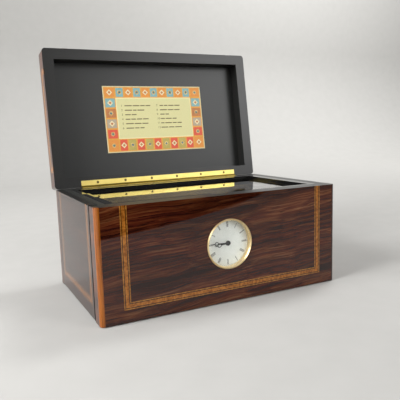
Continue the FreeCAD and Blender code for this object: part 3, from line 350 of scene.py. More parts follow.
@dataclass(frozen=True)
class PlainWood(Finish):
    """A straight-grained pale wood, sawn or lacquered."""

    dark: str = "#7a3f14"
    grain: Grain = Grain.Z
    streak_mm: float = 1.6
    span: Pair = (0.32, 0.62)
    saw_mm: float = 0.15

    def pattern(self, tree: Tree, shader: Node) -> None:
        """Narrow darker streaks along the grain, which a bare surface also has as ridges.

        Args:
            tree: the material's node tree.
            shader: the material's shader.
        """
        value = streaks(tree, self.grain, stretch=24.0, width_mm=self.streak_mm, detail=4.0, warp_mm=4.0)
        ramp = add(tree, "ValToRGB", {"Fac": value}, list(zip(self.span, (self.dark, self.color))))
        tree.links.new(ramp.outputs["Color"], shader.inputs["Base Color"])
        if not self.coat:
            bump(tree, shader, value, self.saw_mm)


@dataclass(frozen=True)
class Lipping(PlainWood):
    """Lacquered strips at the front corners: the left one amber, the right one painted as dark as the veneer
    for shade.
    """

    # Painted shade: the right strip's colour, as dark as the veneer beside it
    right_shade: str = "#3a170a"

    def pattern(self, tree: Tree, shader: Node) -> None:
        """Straight grain, and the painted shade colour to the right of the middle.

        Args:
            tree: the material's node tree.
            shader: the material's shader.
        """
        super().pattern(tree, shader)
        place = add(tree, "SeparateXYZ", {0: add(tree, "TexCoord").outputs["Object"]}).outputs["X"]
        right = add(tree, "Math", {0: place, 1: 0.0}, operation="GREATER_THAN").outputs[0]
        color = add(tree, "Mix", {0: right, 6: feeding(shader, "Base Color"), 7: linear(self.right_shade)},
                    data_type="RGBA")
        tree.links.new(color.outputs[2], shader.inputs["Base Color"])


@dataclass(frozen=True)
class Stringing(Finish):
    """A flush inlaid band of five strips: pale line, dark line, amber band, dark line, pale line.

    The strips follow the second UV coordinate, which runs across the band from 0 to 1.
    """

    pale: str = "#b27a34"
    dark: str = "#2c1409"
    line: float = 0.15
    gap: float = 0.1
    figure_mm: float = 3.0
    shade_span: Pair = (0.35, 0.65)
    shades: tuple[str, str] = ("#b8a898", "#ffffff")

    def pattern(self, tree: Tree, shader: Node) -> None:
        """Strips across the band, with a little figure along them.

        Args:
            tree: the material's node tree.
            shader: the material's shader.
        """
        across = add(tree, "SeparateXYZ", {0: add(tree, "UVMap").outputs["UV"]}).outputs["Y"]
        core = self.line + self.gap
        stops = [(0.0, self.pale), (self.line, self.dark), (core, self.color), (1 - core, self.dark),
                 (1 - self.line, self.pale)]
        ramp = add(tree, "ValToRGB", {"Fac": across}, stops)
        ramp.color_ramp.interpolation = "CONSTANT"
        figure = add(tree, "TexNoise", {"Vector": add(tree, "TexCoord").outputs["Object"],
                                        "Scale": PER_MM / self.figure_mm, "Detail": 4.0})
        shade = add(tree, "ValToRGB", {"Fac": figure.outputs["Fac"]}, list(zip(self.shade_span, self.shades)))
        color = add(tree, "Mix", {0: 1.0, 6: ramp.outputs["Color"], 7: shade.outputs["Color"]},
                    data_type="RGBA", blend_type="MULTIPLY")
        tree.links.new(color.outputs[2], shader.inputs["Base Color"])


@dataclass(frozen=True)
class Speckled(Finish):
    """A surface with a fine mottle in its colour and height, as lacquer, paper, paint and felt have."""

    other: str = "#000000"
    grit_mm: float = 1.0
    height_mm: float = 0.0
    span: Pair = (0.3, 0.7)

    def pattern(self, tree: Tree, shader: Node) -> None:
        """Two close colours in a noise of the grit's size.

        Args:
            tree: the material's node tree.
            shader: the material's shader.
        """
        noise = add(tree, "TexNoise", {"Vector": add(tree, "TexCoord").outputs["Object"],
                                       "Scale": PER_MM / self.grit_mm, "Detail": 3.0}).outputs["Fac"]
        ramp = add(tree, "ValToRGB", {"Fac": noise}, list(zip(self.span, (self.other, self.color))))
        tree.links.new(ramp.outputs["Color"], shader.inputs["Base Color"])
        if self.height_mm:
            bump(tree, shader, noise, self.height_mm)


@dataclass(frozen=True)
class Metal(Finish):
    """Polished or brushed metal with faint tool lines along one direction and slight tarnish."""

    tarnish: str = "#8a6a2a"
    tarnish_mm: float = 14.0
    tarnish_span: Pair = (0.3, 0.55)
    grain: Grain = Grain.X
    # Real tool lines are finer than the render can show, so these are drawn wider
    line_mm: float = 0.35
    line_depth_mm: float = 0.0008
    rough_spread: Pair = (0.75, 1.35)

    def pattern(self, tree: Tree, shader: Node) -> None:
        """Tool lines in the roughness and height, tarnish in the colour.

        Args:
            tree: the material's node tree.
            shader: the material's shader.
        """
        lines = streaks(tree, self.grain, stretch=60.0, width_mm=self.line_mm, detail=2.0)
        least, most = (self.roughness * share for share in self.rough_spread)
        rough = add(tree, "MapRange", {"Value": lines, "To Min": least, "To Max": most})
        tree.links.new(rough.outputs["Result"], shader.inputs["Roughness"])
        patches = add(tree, "TexNoise", {"Vector": add(tree, "TexCoord").outputs["Object"],
                                         "Scale": PER_MM / self.tarnish_mm, "Detail": 4.0})
        ramp = add(tree, "ValToRGB", {"Fac": patches.outputs["Fac"]},
                   list(zip(self.tarnish_span, (self.tarnish, self.color))))
        tree.links.new(ramp.outputs["Color"], shader.inputs["Base Color"])
        bump(tree, shader, lines, self.line_depth_mm)


@dataclass(frozen=True)
class HingeBrass(Metal):
    """Rolled brass strip: bright polished leaves, and knuckles drawn darker olive and duller.

    A point belongs to the knuckles where its distance from the pin's line along X is under barrel_r.
    """

    pin: Vec = (0.0, 0.0, 0.0)
    barrel_r: float = 2.45 * MM
    knuckle: str = "#75642b"
    knuckle_roughness: float = 0.4

    def pattern(self, tree: Tree, shader: Node) -> None:
        """The metal's own pattern on the leaves, and the knuckles' colour and roughness near the pin.

        Args:
            tree: the material's node tree.
            shader: the material's shader.
        """
        super().pattern(tree, shader)
        coords = add(tree, "TexCoord").outputs["Object"]
        off = add(tree, "VectorMath", {0: coords, 1: self.pin}, operation="SUBTRACT").outputs["Vector"]
        across = add(tree, "VectorMath", {0: off, 1: (0.0, 1.0, 1.0)}, operation="MULTIPLY").outputs["Vector"]
        away = add(tree, "VectorMath", {0: across}, operation="LENGTH").outputs["Value"]
        near = add(tree, "Math", {0: away, 1: self.barrel_r}, operation="LESS_THAN").outputs[0]
        color = add(tree, "Mix", {0: near, 6: feeding(shader, "Base Color"), 7: linear(self.knuckle)},
                    data_type="RGBA").outputs[2]
        tree.links.new(color, shader.inputs["Base Color"])
        rough = add(tree, "Mix", {0: near, 2: feeding(shader, "Roughness"), 3: self.knuckle_roughness})
        tree.links.new(rough.outputs[0], shader.inputs["Roughness"])


# Places and meshes

def joint(name: str) -> dict[str, Any]:
    """The frame's joint of that name."""
    return next(j for j in frame["joints"] if j["name"] == name)


def turned_open(points: np.ndarray | Vec) -> np.ndarray:
    """Turn directions of the shut lid about X to where the open lid has them.

    y' = y cos a + z sin a and z' = z cos a - y sin a, where a is the angle the lid stands open.

    Args:
        points: directions, with X, Y and Z last.

    Returns:
        The turned directions.
    """
    angle = math.radians(-joint("lid_hinge")["range_deg"][0])
    x, y, z = np.moveaxis(np.asarray(points, float), -1, 0)
    c, s = math.cos(angle), math.sin(angle)
    return np.stack((x, y * c + z * s, z * c - y * s), -1)


def opened(points: np.ndarray) -> np.ndarray:
    """Turn points of the shut lid about its hinge to where the open lid has them."""
    hinge = np.array(joint("lid_hinge")["pos_m"])
    return hinge + turned_open(np.asarray(points, float) - hinge)


@dataclass(frozen=True)
class Plane:
    """A flat place to draw on: a point, two directions in it and the way out of it."""

    origin: np.ndarray
    right: np.ndarray
    up: np.ndarray
    out: np.ndarray

    def at(self, flat: np.ndarray, height: float | np.ndarray) -> np.ndarray:
        """Points of the plane, origin + a right + b up + height out."""
        return self.origin + flat[..., :1] * self.right + flat[..., 1:2] * self.up + height * self.out


def piece(name: str, verts: np.ndarray, faces: list[list[int]], finish: Finish, body: str,
          uv: np.ndarray | None = None, replaces: tuple[str, ...] = ()) -> None:
    """Put arrays into a mesh object that rides on a body.

    Args:
        name: the piece's name.
        verts: points, in metres.
        faces: corner numbers of each face.
        finish: what the piece is finished in.
        body: the body that it rides on.
        uv: one UV pair for each vertex.
        replaces: the frame's nodes that it stands for.
    """
    mesh = bpy.data.meshes.new(name)
    mesh.from_pydata(verts.reshape(-1, 3).tolist(), [], faces)
    if uv is not None:
        corners = np.empty(len(mesh.loops), np.int32)
        mesh.loops.foreach_get("vertex_index", corners)
        layer = mesh.uv_layers.new(name="UVMap")
        layer.data.foreach_set("uv", uv.reshape(-1, 2)[corners].astype(np.float32).ravel())
    mesh.materials.append(finish.material())
    made = bpy.data.objects.new(name, mesh)
    bpy.context.scene.collection.objects.link(made)
    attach(made, body)
    if replaces:
        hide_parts(*replaces)
    LOG.info("piece %s on %s: %d faces", name, body, len(faces))


def rects(centres: Any, sizes: Any, angles: np.ndarray | float = 0.0) -> np.ndarray:
    """Rectangles in a plane, each turned anticlockwise by an angle.

    Args:
        centres: the middles, n by 2.
        sizes: widths and heights, n by 2 or one pair for all.
        angles: turns in radians.

    Returns:
        Four corners for each, n by 4 by 2.
    """
    centres = np.atleast_2d(np.asarray(centres, float))
    sizes = np.broadcast_to(np.asarray(sizes, float), centres.shape)
    angles = np.broadcast_to(np.asarray(angles, float), centres.shape[:1])
    unit = np.array([(-0.5, -0.5), (0.5, -0.5), (0.5, 0.5), (-0.5, 0.5)])
    local = unit[None] * sizes[:, None]
    c, s = np.cos(angles)[:, None], np.sin(angles)[:, None]
    x = local[..., 0] * c - local[..., 1] * s
    y = local[..., 0] * s + local[..., 1] * c
    return centres[:, None] + np.stack((x, y), -1)


def ring_quads(radius: float, width: float, steps: int) -> np.ndarray:
    """A flat ring about the origin as quads between two circles, points r (cos t, sin t).

    Args:
        radius: the ring's middle line.
        width: how wide the ring is.
        steps: how many quads go round.

    Returns:
        Four corners for each, n by 4 by 2.
    """
    turn = np.linspace(0.0, 2 * np.pi, steps + 1)
    way = np.stack((np.cos(turn), np.sin(turn)), -1)
    inner, outer = way * (radius - width / 2), way * (radius + width / 2)
    return np.stack((inner[:-1], outer[:-1], outer[1:], inner[1:]), 1)


def prisms(quads: np.ndarray, plane: Plane, low: float, high: float) -> tuple[np.ndarray, list[list[int]]]:
    """Flat four-sided prisms standing on a plane, each with six faces.

    Args:
        quads: corners in the plane, n by 4 by 2, anticlockwise as seen from outside.
        plane: where they stand.
        low: height of their feet.
        high: height of their tops.

    Returns:
        Points and faces.
    """
    verts = np.concatenate((plane.at(quads, low), plane.at(quads, high)), 1)
    cell = np.array([(4, 5, 6, 7), (3, 2, 1, 0), (0, 1, 5, 4), (1, 2, 6, 5), (2, 3, 7, 6), (3, 0, 4, 7)])
    faces = cell[None] + verts.shape[1] * np.arange(len(quads))[:, None, None]
    return verts.reshape(-1, 3), faces.reshape(-1, 4).tolist()


# Finishes of this box

# Clear lacquer: the wood gives the colour and the coat alone reflects, sharpest where it is polished
LACQUERED: dict[str, Any] = dict(roughness=0.5, coat=1.0, coat_roughness=0.025, specular=0.0)
RUBBED: dict[str, Any] = dict(roughness=0.5, coat=1.0, specular=0.0)
# Stringing let flush into the veneer: warm amber lines under the same gloss
STRINGING = Stringing("inlaid_stringing", "#b4722b", **LACQUERED)
# Stringing drawn darker and browner on the flap: painted shade, a quieter line there
FLAP_STRINGING = Stringing("shaded_flap_stringing", "#84521f", pale="#7c5226", dark="#1d0b06", **LACQUERED)
# Black lacquer rubbed to a gloss: a near-black skin with sharp reflections
BLACK_GLOSS = Speckled("black_lacquer_gloss", "#141413", other="#0e0e0e", grit_mm=6.0, **RUBBED)
# Black lacquer left satin: charcoal with a soft sheen where light grazes it
BLACK_SATIN = Speckled("black_lacquer_satin", "#282928", roughness=0.4, other="#222322", grit_mm=0.8,
                       height_mm=0.005)
# Polished brass: warm yellow plates and wheels with streaked highlights
BRASS = Metal("polished_brass", "#dcc27c", roughness=0.26, metallic=1.0, tarnish="#c6a860")
# Rolled hinge brass: broad bright lemon strips with dull knuckles
HINGE_BRASS = HingeBrass("hinge_brass", "#f0db84", roughness=0.42, metallic=1.0, tarnish="#e9d278",
                         line_depth_mm=0.0003, pin=tuple(joint("lid_hinge")["pos_m"]))
# Gilt brass: a pale gold ring with soft, even highlights
GILT = Metal("gilt_brass", "#f7dfae", roughness=0.4, metallic=1.0, tarnish="#efd29c", line_depth_mm=0.0003)
# Ground steel: cool grey with a sheen across the grinding
STEEL = Metal("ground_steel", "#b9bcbe", roughness=0.28, metallic=1.0, tarnish="#9a9da0")
# Heat-blued steel: dark blue-grey that glints
BLUED = Metal("blued_steel", "#3b3f4a", roughness=0.3, metallic=1.0, tarnish="#2c2f38")
# Bronzed screws: dull brown dots on the bright hinge
BRONZED = Metal("bronzed_screws", "#6b5d34", roughness=0.4, metallic=1.0, tarnish="#4a4126")
# Float glass: seen by its reflections alone
GLASS = ClearGlass("float_glass", "#fafbfa", roughness=0.0, transmission=1.0, ior=1.46)
# Sawn spruce: pale straw boards with fine darker lines
SPRUCE = PlainWood("sawn_spruce", "#caa873", roughness=0.7, dark="#a98451", grain=Grain.X, streak_mm=3.0)
# Lacquered lipping: an orange-brown line down the left corner; the right one painted dark as shade
AMBER = Lipping("amber_lipping", "#9c5818", dark="#713910", grain=Grain.Z, **RUBBED)
# Pressed felt: a fuzzy black without a highlight, its fibres drawn coarser than they are so that they show
FELT = Speckled("black_felt", "#17181a", roughness=1.0, other="#0c0d0e", grit_mm=0.6, height_mm=0.3)
# Fired enamel: a clean cool white with a faint gloss
ENAMEL = Speckled("white_dial_enamel", "#f8faf6", roughness=0.4, other="#f1f4ef", grit_mm=4.0)
# Printing ink on the dial: soft black lines
DIAL_INK = Speckled("dial_ink", "#181c1b", roughness=0.5, other="#242928", grit_mm=0.5)
# Stoved paint on the hands: a smooth deep black
HAND_PAINT = Speckled("black_hand_paint", "#0d0e0e", roughness=0.35, other="#161717", grit_mm=0.5)
# Moulded plastic: a grainy black case behind the dial
MOULDED = Speckled("black_moulded_plastic", "#1a1a1b", roughness=0.55, other="#131314", grit_mm=0.4,
                   height_mm=0.02)
# Uncoated card: a cream sheet with a faint mottle
CARD = Speckled("cream_card", "#ece0b4", roughness=0.6, other="#dccf9f", grit_mm=0.9)
# Matt paper: an even pale grey floor
PAPER = Speckled("matt_paper", "#b0afac", roughness=0.9, other="#adaca9", grit_mm=40.0)
# Velvet: a black that swallows light, its pile drawn coarser than it is so that it shows
VELVET = Speckled("black_velvet", "#120f0e", roughness=1.0, specular=0.1, other="#0c0a09", grit_mm=3.0)


def veneer(name: str, grain: Grain, *outward: Vec, **settings: Any) -> RosewoodVeneer:
    """Polished rosewood for one board, on the faces that look along the outward directions."""
    settings.update(LACQUERED, grain=grain, outward=outward)
    return RosewoodVeneer("rosewood_" + name, "#42190e", **settings)


@dataclass
class Case:
    """The boards, rim, glass lid and linings of case and lid, and the bands let into the veneer."""

    inlay_w: float = 8.7 * MM
    inlay_depth: float = 1.0 * MM
    front_margins: Pair = (28.9 * MM, 26.8 * MM)
    side_margins: Pair = (30.0 * MM, 25.5 * MM)
    front_foot: float = 16.5 * MM
    side_foot: float = 19.0 * MM
    lid_drop: float = 1.0 * MM
    lid_rail_h: float = 20.5 * MM
    side_reach: float = 165.0 * MM
    front_tilt_deg: float = 4.0
    # The flap's veneer tones are drawn darker than the other boards': painted shade against the lamp at the
    # left
    flap_clouds: tuple[str, str] = ("#6c6666", "#9c9896")

    def finishes(self) -> dict[str, Finish]:
        """The finish of each wooden, felt and glass node.

        Returns:
            Finishes by the node's name.
        """
        ahead, behind = (tuple(turned_open(way).tolist()) for way in (FRONT, BACK))
        return {
            "front_panel": veneer("front", Grain.X, FRONT, *SIDES, tilt_deg=self.front_tilt_deg),
            "rear_panel": veneer("rear", Grain.X, BACK, *SIDES, bare=FRONT),
            "right_panel": veneer("right", Grain.Y, RIGHT),
            "end_flap": veneer("flap", Grain.Y, LEFT, clouds=self.flap_clouds),
            "lid_front_rail": veneer("lid_front", Grain.X, ahead, *SIDES),
            "lid_rear_rail": veneer("lid_rear", Grain.X, behind, *SIDES),
            "lid_side_rails": veneer("lid_sides", Grain.Z, *SIDES, reach=self.side_reach),
            "lid_top_panel": veneer("lid_top", Grain.X),
            "front_corner_lippings": AMBER,
            "left_end_wall": BLACK_SATIN,
            "rim_frame": BLACK_GLOSS,
            "glass_lid_frame": BLACK_GLOSS,
            "glass_pane": GLASS,
            "lid_lining": BLACK_SATIN,
            "base_felt": FELT,
            "base_panel": SPRUCE,
            "sound_board": SPRUCE,
            "board_cleats": SPRUCE,
        }

    def band(self, corner: Vec, across: Vec, up: Vec, inward: Vec, width: float, margins: Pair, top: float,
             foot: float) -> tuple[np.ndarray, np.ndarray, np.ndarray]:
        """A flat band along two uprights and a foot, mitred at its corners.

        A point is corner + a across + b up + d inward, where (a, b) lies on the band's outer or inner line
        and d is nought or the band's depth. The two ends have points of their own, coloured as the dark line.

        Args:
            corner: the face's lower corner.
            across: the direction along the foot.
            up: the direction of the uprights.
            inward: the direction into the wood.
            width: the face's length along the foot.
            margins: distances of the uprights from the face's two ends.
            top: how high the uprights run.
            foot: how high the foot's lower edge lies.

        Returns:
            Points, faces, and a UV pair for each point: length along the band and share across it.
        """
        a0, a1, w = margins[0], width - margins[1], self.inlay_w
        outer = np.array([(a0, top), (a0, foot), (a1, foot), (a1, top)])
        inner = np.array([(a0 + w, top), (a0 + w, foot + w), (a1 - w, foot + w), (a1 - w, top)])
        ring = np.stack((outer, inner, inner, outer), 1)
        depth = np.array([0.0, 0.0, self.inlay_depth, self.inlay_depth])[None, :, None]
        verts = np.array(corner) + ring[..., :1] * np.array(across) + ring[..., 1:] * np.array(up)
        verts = (verts + depth * np.array(inward)).reshape(-1, 3)
        run = np.concatenate(([0.0], np.cumsum(np.linalg.norm(np.diff(outer, axis=0), axis=1))))
        stations, corners = ring.shape[:2]
        uv = np.stack((np.repeat(run[:, None], corners, 1), np.tile((0.0, 1.0, 1.0, 0.0), (stations, 1))), -1)
        n, k = np.meshgrid(corners * np.arange(stations - 1), np.arange(corners), indexing="ij")
        after = (k + 1) % corners
        sides = np.stack((n + k, n + after, n + corners + after, n + corners + k), -1).reshape(-1, 4)
        ends = np.stack((np.arange(corners)[::-1], np.arange(len(verts))[-corners:]))
        caps = len(verts) + np.arange(ends.size).reshape(ends.shape)
        faces = np.concatenate((sides, caps))
        if np.dot(np.cross(across, up), inward) > 0:
            faces = faces[:, ::-1]
        cap_uv = np.full((ends.size, 2), STRINGING.line + STRINGING.gap / 2)
        verts = np.concatenate((verts, verts[ends.ravel()]))
        return verts, faces, np.concatenate((uv.reshape(-1, 2), cap_uv))

    def build(self) -> None:
        """Inlaid bands on the front, the two ends and the lid's rails."""
        (left, front, _), (right, _, top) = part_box("front_panel")
        depth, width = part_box("rear_panel")[1].y - front, right - left
        hinge_z = joint("lid_hinge")["pos_m"][2]
        lid_top = hinge_z + (hinge_z - top) + self.lid_rail_h
        on_front = dict(across=RIGHT, inward=BACK, width=width, margins=self.front_margins)
        on_left = dict(across=BACK, inward=RIGHT, width=depth, margins=self.side_margins)
        on_right = dict(across=BACK, inward=LEFT, width=depth, margins=self.side_margins)
        front_wall = dict(up=UP, top=top, foot=self.front_foot)
        end_wall = dict(up=UP, top=top, foot=self.side_foot)
        hanging = dict(up=DOWN, top=self.lid_rail_h, foot=self.lid_drop)
        case = [self.band((left, front, 0.0), **on_front, **front_wall),
                self.band((right, front, 0.0), **on_right, **end_wall)]
        flap = [self.band((left, front, 0.0), **on_left, **end_wall)]
        lid = [self.band((x, front, lid_top), **way, **hanging)
               for x, way in ((left, on_front), (left, on_left), (right, on_right))]
        lid = [(opened(verts), faces, uv) for verts, faces, uv in lid]
        for name, node, body, finish, parts in (("case_bands", "case_inlay", "case", STRINGING, case),
                                                ("flap_band", "flap_inlay", "end_flap", FLAP_STRINGING, flap),
                                                ("lid_bands", "lid_inlay", "lid", STRINGING, lid)):
            starts = np.cumsum([0] + [len(verts) for verts, _, _ in parts])
            faces = np.concatenate([part[1] + start for part, start in zip(parts, starts)])
            piece(name, np.concatenate([part[0] for part in parts]), faces.tolist(), finish, body,
                  uv=np.concatenate([part[2] for part in parts]), replaces=(node,))


@dataclass
class Clock:
    """The clock's dial print; its bezel, lens, hands and works keep their own shapes."""

    numeral_r: float = 24.5 * MM
    numeral_h: float = 6.8 * MM
    stem: float = 0.46 * MM
    hair: float = 0.24 * MM
    serif: float = 0.2 * MM
    serif_stems: float = 1.5
    room_stems: float = 1.75
    letter_half: float = 0.5 * MM
    minutes: int = 60
    track_r: float = 28.9 * MM
    track_steps: int = 120
    tick_l: float = 0.8 * MM
    tick_share: float = 0.4
    print_h: float = 0.03 * MM
    hours: tuple[str, ...] = ("XII", "I", "II", "III", "IIII", "V", "VI", "VII", "VIII", "IX", "X", "XI")

    def finishes(self) -> dict[str, Finish]:
        """The finish of each of the clock's nodes."""
        return {"clock_bezel": GILT, "clock_lens": GLASS, "clock_dial": ENAMEL, "clock_hour_hand": HAND_PAINT,
                "clock_minute_hand": HAND_PAINT, "clock_movement": MOULDED, "clock_setting_knob": MOULDED}

    def letter(self, sign: str, x: float) -> np.ndarray:
        """Strokes of one numeral sign as rectangles: a stem, a hairline and serifs, turned by their lean.

        Args:
            sign: I, V or X.
            x: the sign's middle.

        Returns:
            Four corners for each stroke, n by 4 by 2.
        """
        h, half = self.numeral_h, self.letter_half
        lean = math.atan2(half, h)
        arm, cross = math.hypot(half, h), math.hypot(2 * half, h)
        lines = {
            "I": [(0.0, self.stem, h, 0.0)],
            "V": [(-half / 2, self.stem, arm, lean), (half / 2, self.hair, arm, -lean)],
            "X": [(0.0, self.stem, cross, 2 * lean), (0.0, self.hair, cross, -2 * lean)],
        }[sign]
        strokes = [rects([(x + dx, 0.0)], [(w, tall)], turn) for dx, w, tall, turn in lines]
        reach = self.serif_stems * self.stem if sign == "I" else 2 * half + self.stem
        ends = [(x, h / 2)] if sign == "V" else [(x, h / 2), (x, -h / 2)]
        strokes.append(rects(ends, (reach, self.serif)))
        return np.concatenate(strokes)

    def numeral(self, signs: str, turn: float) -> np.ndarray:
        """A whole numeral with its feet towards the centre.

        The signs stand side by side at the numerals' radius, and x' = x c - y s, y' = x s + y c turns them.

        Args:
            signs: the numeral's letters.
            turn: radians clockwise from twelve.

        Returns:
            Four corners for each stroke, n by 4 by 2.
        """
        wide = 2 * self.letter_half + self.stem
        room = np.array([self.room_stems * self.stem if sign == "I" else wide for sign in signs])
        places = np.cumsum(room) - room / 2 - room.sum() / 2
        local = np.concatenate([self.letter(sign, x) for sign, x in zip(signs, places)])
        local = local + np.array((0.0, self.numeral_r))
        c, s = math.cos(-turn), math.sin(-turn)
        return np.stack((local[..., 0] * c - local[..., 1] * s, local[..., 0] * s + local[..., 1] * c), -1)

    def build(self) -> None:
        """Numerals and the minute track, printed on the dial."""
        low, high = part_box("clock_dial")
        middle = np.array(((low.x + high.x) / 2, low.y, (low.z + high.z) / 2))
        plane = Plane(middle, np.array(RIGHT), np.array(UP), np.array(FRONT))
        step = 2 * math.pi / len(self.hours)
        numerals = np.concatenate([self.numeral(signs, step * n) for n, signs in enumerate(self.hours)])
        verts, faces = prisms(numerals, plane, 0.0, self.print_h)
        piece("dial_numerals", verts, faces, DIAL_INK, "case")
        minute = np.arange(self.minutes)
        turn = minute * 2 * np.pi / self.minutes
        centres = self.track_r * np.stack((np.sin(turn), np.cos(turn)), -1)
        fine = self.tick_share * self.hair
        wide = np.where(minute % (self.minutes // len(self.hours)) == 0, self.hair, fine)
        ticks = rects(centres, np.stack((wide, np.full_like(wide, self.tick_l)), -1), -turn)
        rail = ring_quads(self.track_r + self.tick_l / 2, fine, self.track_steps)
        verts, faces = prisms(np.concatenate((ticks, rail)), plane, 0.0, self.print_h)
        piece("dial_minute_track", verts, faces, DIAL_INK, "case")


class Ink(Enum):
    """Colours printed on the card, each with the darker tone that mottles it."""

    GOLD = ("#f0b14c", "#dd973a")
    TEAL = ("#92bfbf", "#7aabaf")
    ORANGE = ("#f0a04a", "#df8b38")
    RED = ("#ec6346", "#d8523a")
    RUST = ("#cd8750", "#b87343")
    OLIVE = ("#c9b763", "#b4a255")
    DOVE = ("#c6b69e", "#b09f88")
    SAND = ("#f6dc9c", "#e8c985")
    PALE = ("#f8ebc4", "#ecdcae")
    SLATE = ("#668c90", "#53787d")
    BUFF = ("#fbf1bd", "#f3e7ac")
    STRAW = ("#e6e1a8", "#dcd69c")
    BROWN = ("#6b5d36", "#5a4d2c")

    def finish(self) -> Finish:
        """Offset ink on card: a flat matt colour with a slight mottle."""
        color, other = self.value
        return Speckled("print_" + self.name.lower(), color, roughness=0.55, other=other, grit_mm=0.7)


class Level(Enum):
    """Which layer of ink a shape is printed in, counted from the card."""

    GROUND = 1
    TILE = 2
    MOTIF = 3
    HEART = 4


@dataclass
class TuneCard:
    """The printed card in the lid, with a plain patterned border and a numbered list of ruled lines."""

    width: float = 172.0 * MM
    height: float = 106.0 * MM
    thick: float = 0.5 * MM
    edge: float = 1.5 * MM
    field_w: float = 132.0 * MM
    field_h: float = 66.0 * MM
    field_up: float = 1.5 * MM
    field_line: float = 3.0 * MM
    layer: float = 0.03 * MM
    tiles_across: int = 9
    tiles_down: int = 4
    tile_gap: float = 2.6 * MM
    motif: float = 6.8 * MM
    star_share: float = 0.8
    top_inks: tuple[Ink, ...] = (Ink.TEAL, Ink.ORANGE)
    foot_inks: tuple[Ink, ...] = (Ink.RED, Ink.OLIVE)
    side_inks: tuple[Ink, ...] = (Ink.RED, Ink.DOVE, Ink.RUST, Ink.TEAL)
    rows: int = 6
    row_pitch: float = 7.2 * MM
    first_row: float = 13.0 * MM
    # Where the two columns start, as shares of the field's width from its middle
    columns: Pair = (-0.44, 0.02)
    words: tuple[int, int] = (2, 4)
    word_mm: Pair = (6.0, 13.0)
    word_h: float = 1.45 * MM
    word_gap: float = 1.6 * MM
    number_h: float = 4.6 * MM
    number_w: float = 6.0 * MM
    seed: int = 7

    def finishes(self) -> dict[str, Finish]:
        """The finish of the card itself."""
        return {"tune_card": CARD}

    def plane(self) -> Plane:
        """The card's face, as it stands in the open lid.

        Returns:
            The face, with its middle as the origin.
        """
        low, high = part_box("tune_card")
        out = turned_open(DOWN)
        middle = np.array((low + high) / 2) + out * self.thick / 2
        return Plane(middle, np.array(RIGHT), turned_open(FRONT), out)

    def draw(self, name: str, quads: np.ndarray, level: Level, ink: Ink) -> None:
        """Print some quads as one layer of ink.

        Args:
            name: what they show.
            quads: corners on the card, n by 4 by 2.
            level: the layer of ink.
            ink: its colour.
        """
        top = level.value * self.layer
        verts, faces = prisms(quads, self.plane(), top - self.layer, top)
        piece("card_" + name, verts, faces, ink.finish(), "lid")

    def tiles(self, w: float, h: float) -> list[tuple[float, float, float, float, Ink]]:
        """Lay tiles round the field, each row sharing its length evenly among them.

        Args:
            w: the printed width.
            h: the printed height.

        Returns:
            Middle, width, height and ink of each tile.
        """
        side = (w - self.field_w) / 2
        side_x = (self.field_w + side) / 2
        top = h / 2 - self.field_up - self.field_h / 2
        foot = h / 2 + self.field_up - self.field_h / 2
        wide, tall = self.field_w / self.tiles_across, self.field_h / self.tiles_down
        across = ((np.arange(self.tiles_across) + 0.5) / self.tiles_across - 0.5) * self.field_w
        down = ((np.arange(self.tiles_down) + 0.5) / self.tiles_down - 0.5) * self.field_h + self.field_up
        found = []
        for y, deep, inks in (((h - top) / 2, top, self.top_inks), ((foot - h) / 2, foot, self.foot_inks)):
            found += [(x, y, wide, deep, inks[n % len(inks)]) for n, x in enumerate(across)]
            found += [(sign * side_x, y, side, deep, Ink.ORANGE) for sign in (-1, 1)]
        for sign in (-1, 1):
            found += [(sign * side_x, y, side, tall, self.side_inks[n % len(self.side_inks)])
                      for n, y in enumerate(down)]
        return found

    def border(self) -> None:
        """A running border of tiles on a gold ground, with a star or a lozenge in each by turns."""
        w, h = self.width - 2 * self.edge, self.height - 2 * self.edge
        self.draw("ground", rects([(0, 0)], (w, h)), Level.GROUND, Ink.GOLD)
        tiles = self.tiles(w, h)
        places = np.array([tile[:4] for tile in tiles])
        inks = [tile[4] for tile in tiles]
        for ink in dict.fromkeys(inks):
            chosen = places[[ink is other for other in inks]]
            shapes = rects(chosen[:, :2], chosen[:, 2:] - self.tile_gap)
            self.draw("tiles_" + ink.name.lower(), shapes, Level.TILE, ink)
        stars, lozenges = places[::2, :2], places[1::2, :2]
        star, lozenge = self.motif * self.star_share, self.motif
        diamond = math.pi / 4
        points = np.concatenate([rects(stars, (star, star), turn) for turn in (0.0, diamond)])
        self.draw("stars", points, Level.MOTIF, Ink.SAND)
        self.draw("star_hearts", rects(stars, (star / 2, star / 2), diamond), Level.HEART, Ink.SLATE)
        self.draw("lozenges", rects(lozenges, (lozenge, lozenge), diamond), Level.MOTIF, Ink.PALE)
        hearts = rects(lozenges, (lozenge / 2, lozenge / 2), diamond)
        self.draw("lozenge_hearts", hearts, Level.HEART, Ink.RUST)

    def contents(self) -> None:
        """The pale field with two columns of numbered, ruled lines."""
        middle = (0.0, self.field_up)
        inside = (self.field_w - self.field_line, self.field_h - self.field_line)
        self.draw("field_edge", rects([middle], (self.field_w, self.field_h)), Level.TILE, Ink.BUFF)
        self.draw("field", rects([middle], inside), Level.MOTIF, Ink.STRAW)
        rng = np.random.default_rng(self.seed)
        tops = self.field_up + self.field_h / 2 - self.first_row - self.row_pitch * np.arange(self.rows)
        words, numbers = [], []
        for column, share in enumerate(self.columns):
            for n, y in enumerate(tops):
                numbers.append((str(n + 1 + column * self.rows), share * self.field_w, y))
                x = share * self.field_w + self.number_w
                count = rng.integers(self.words[0], self.words[1] + 1)
                for length in rng.uniform(*self.word_mm, size=count) * MM:
                    words.append((x + length / 2, y, length))
                    x += length + self.word_gap
        lines = np.array(words)
        sizes = np.stack((lines[:, 2], np.full(len(lines), self.word_h)), -1)
        self.draw("ruled_lines", rects(lines[:, :2], sizes), Level.HEART, Ink.BROWN)
        self.numbers(numbers)

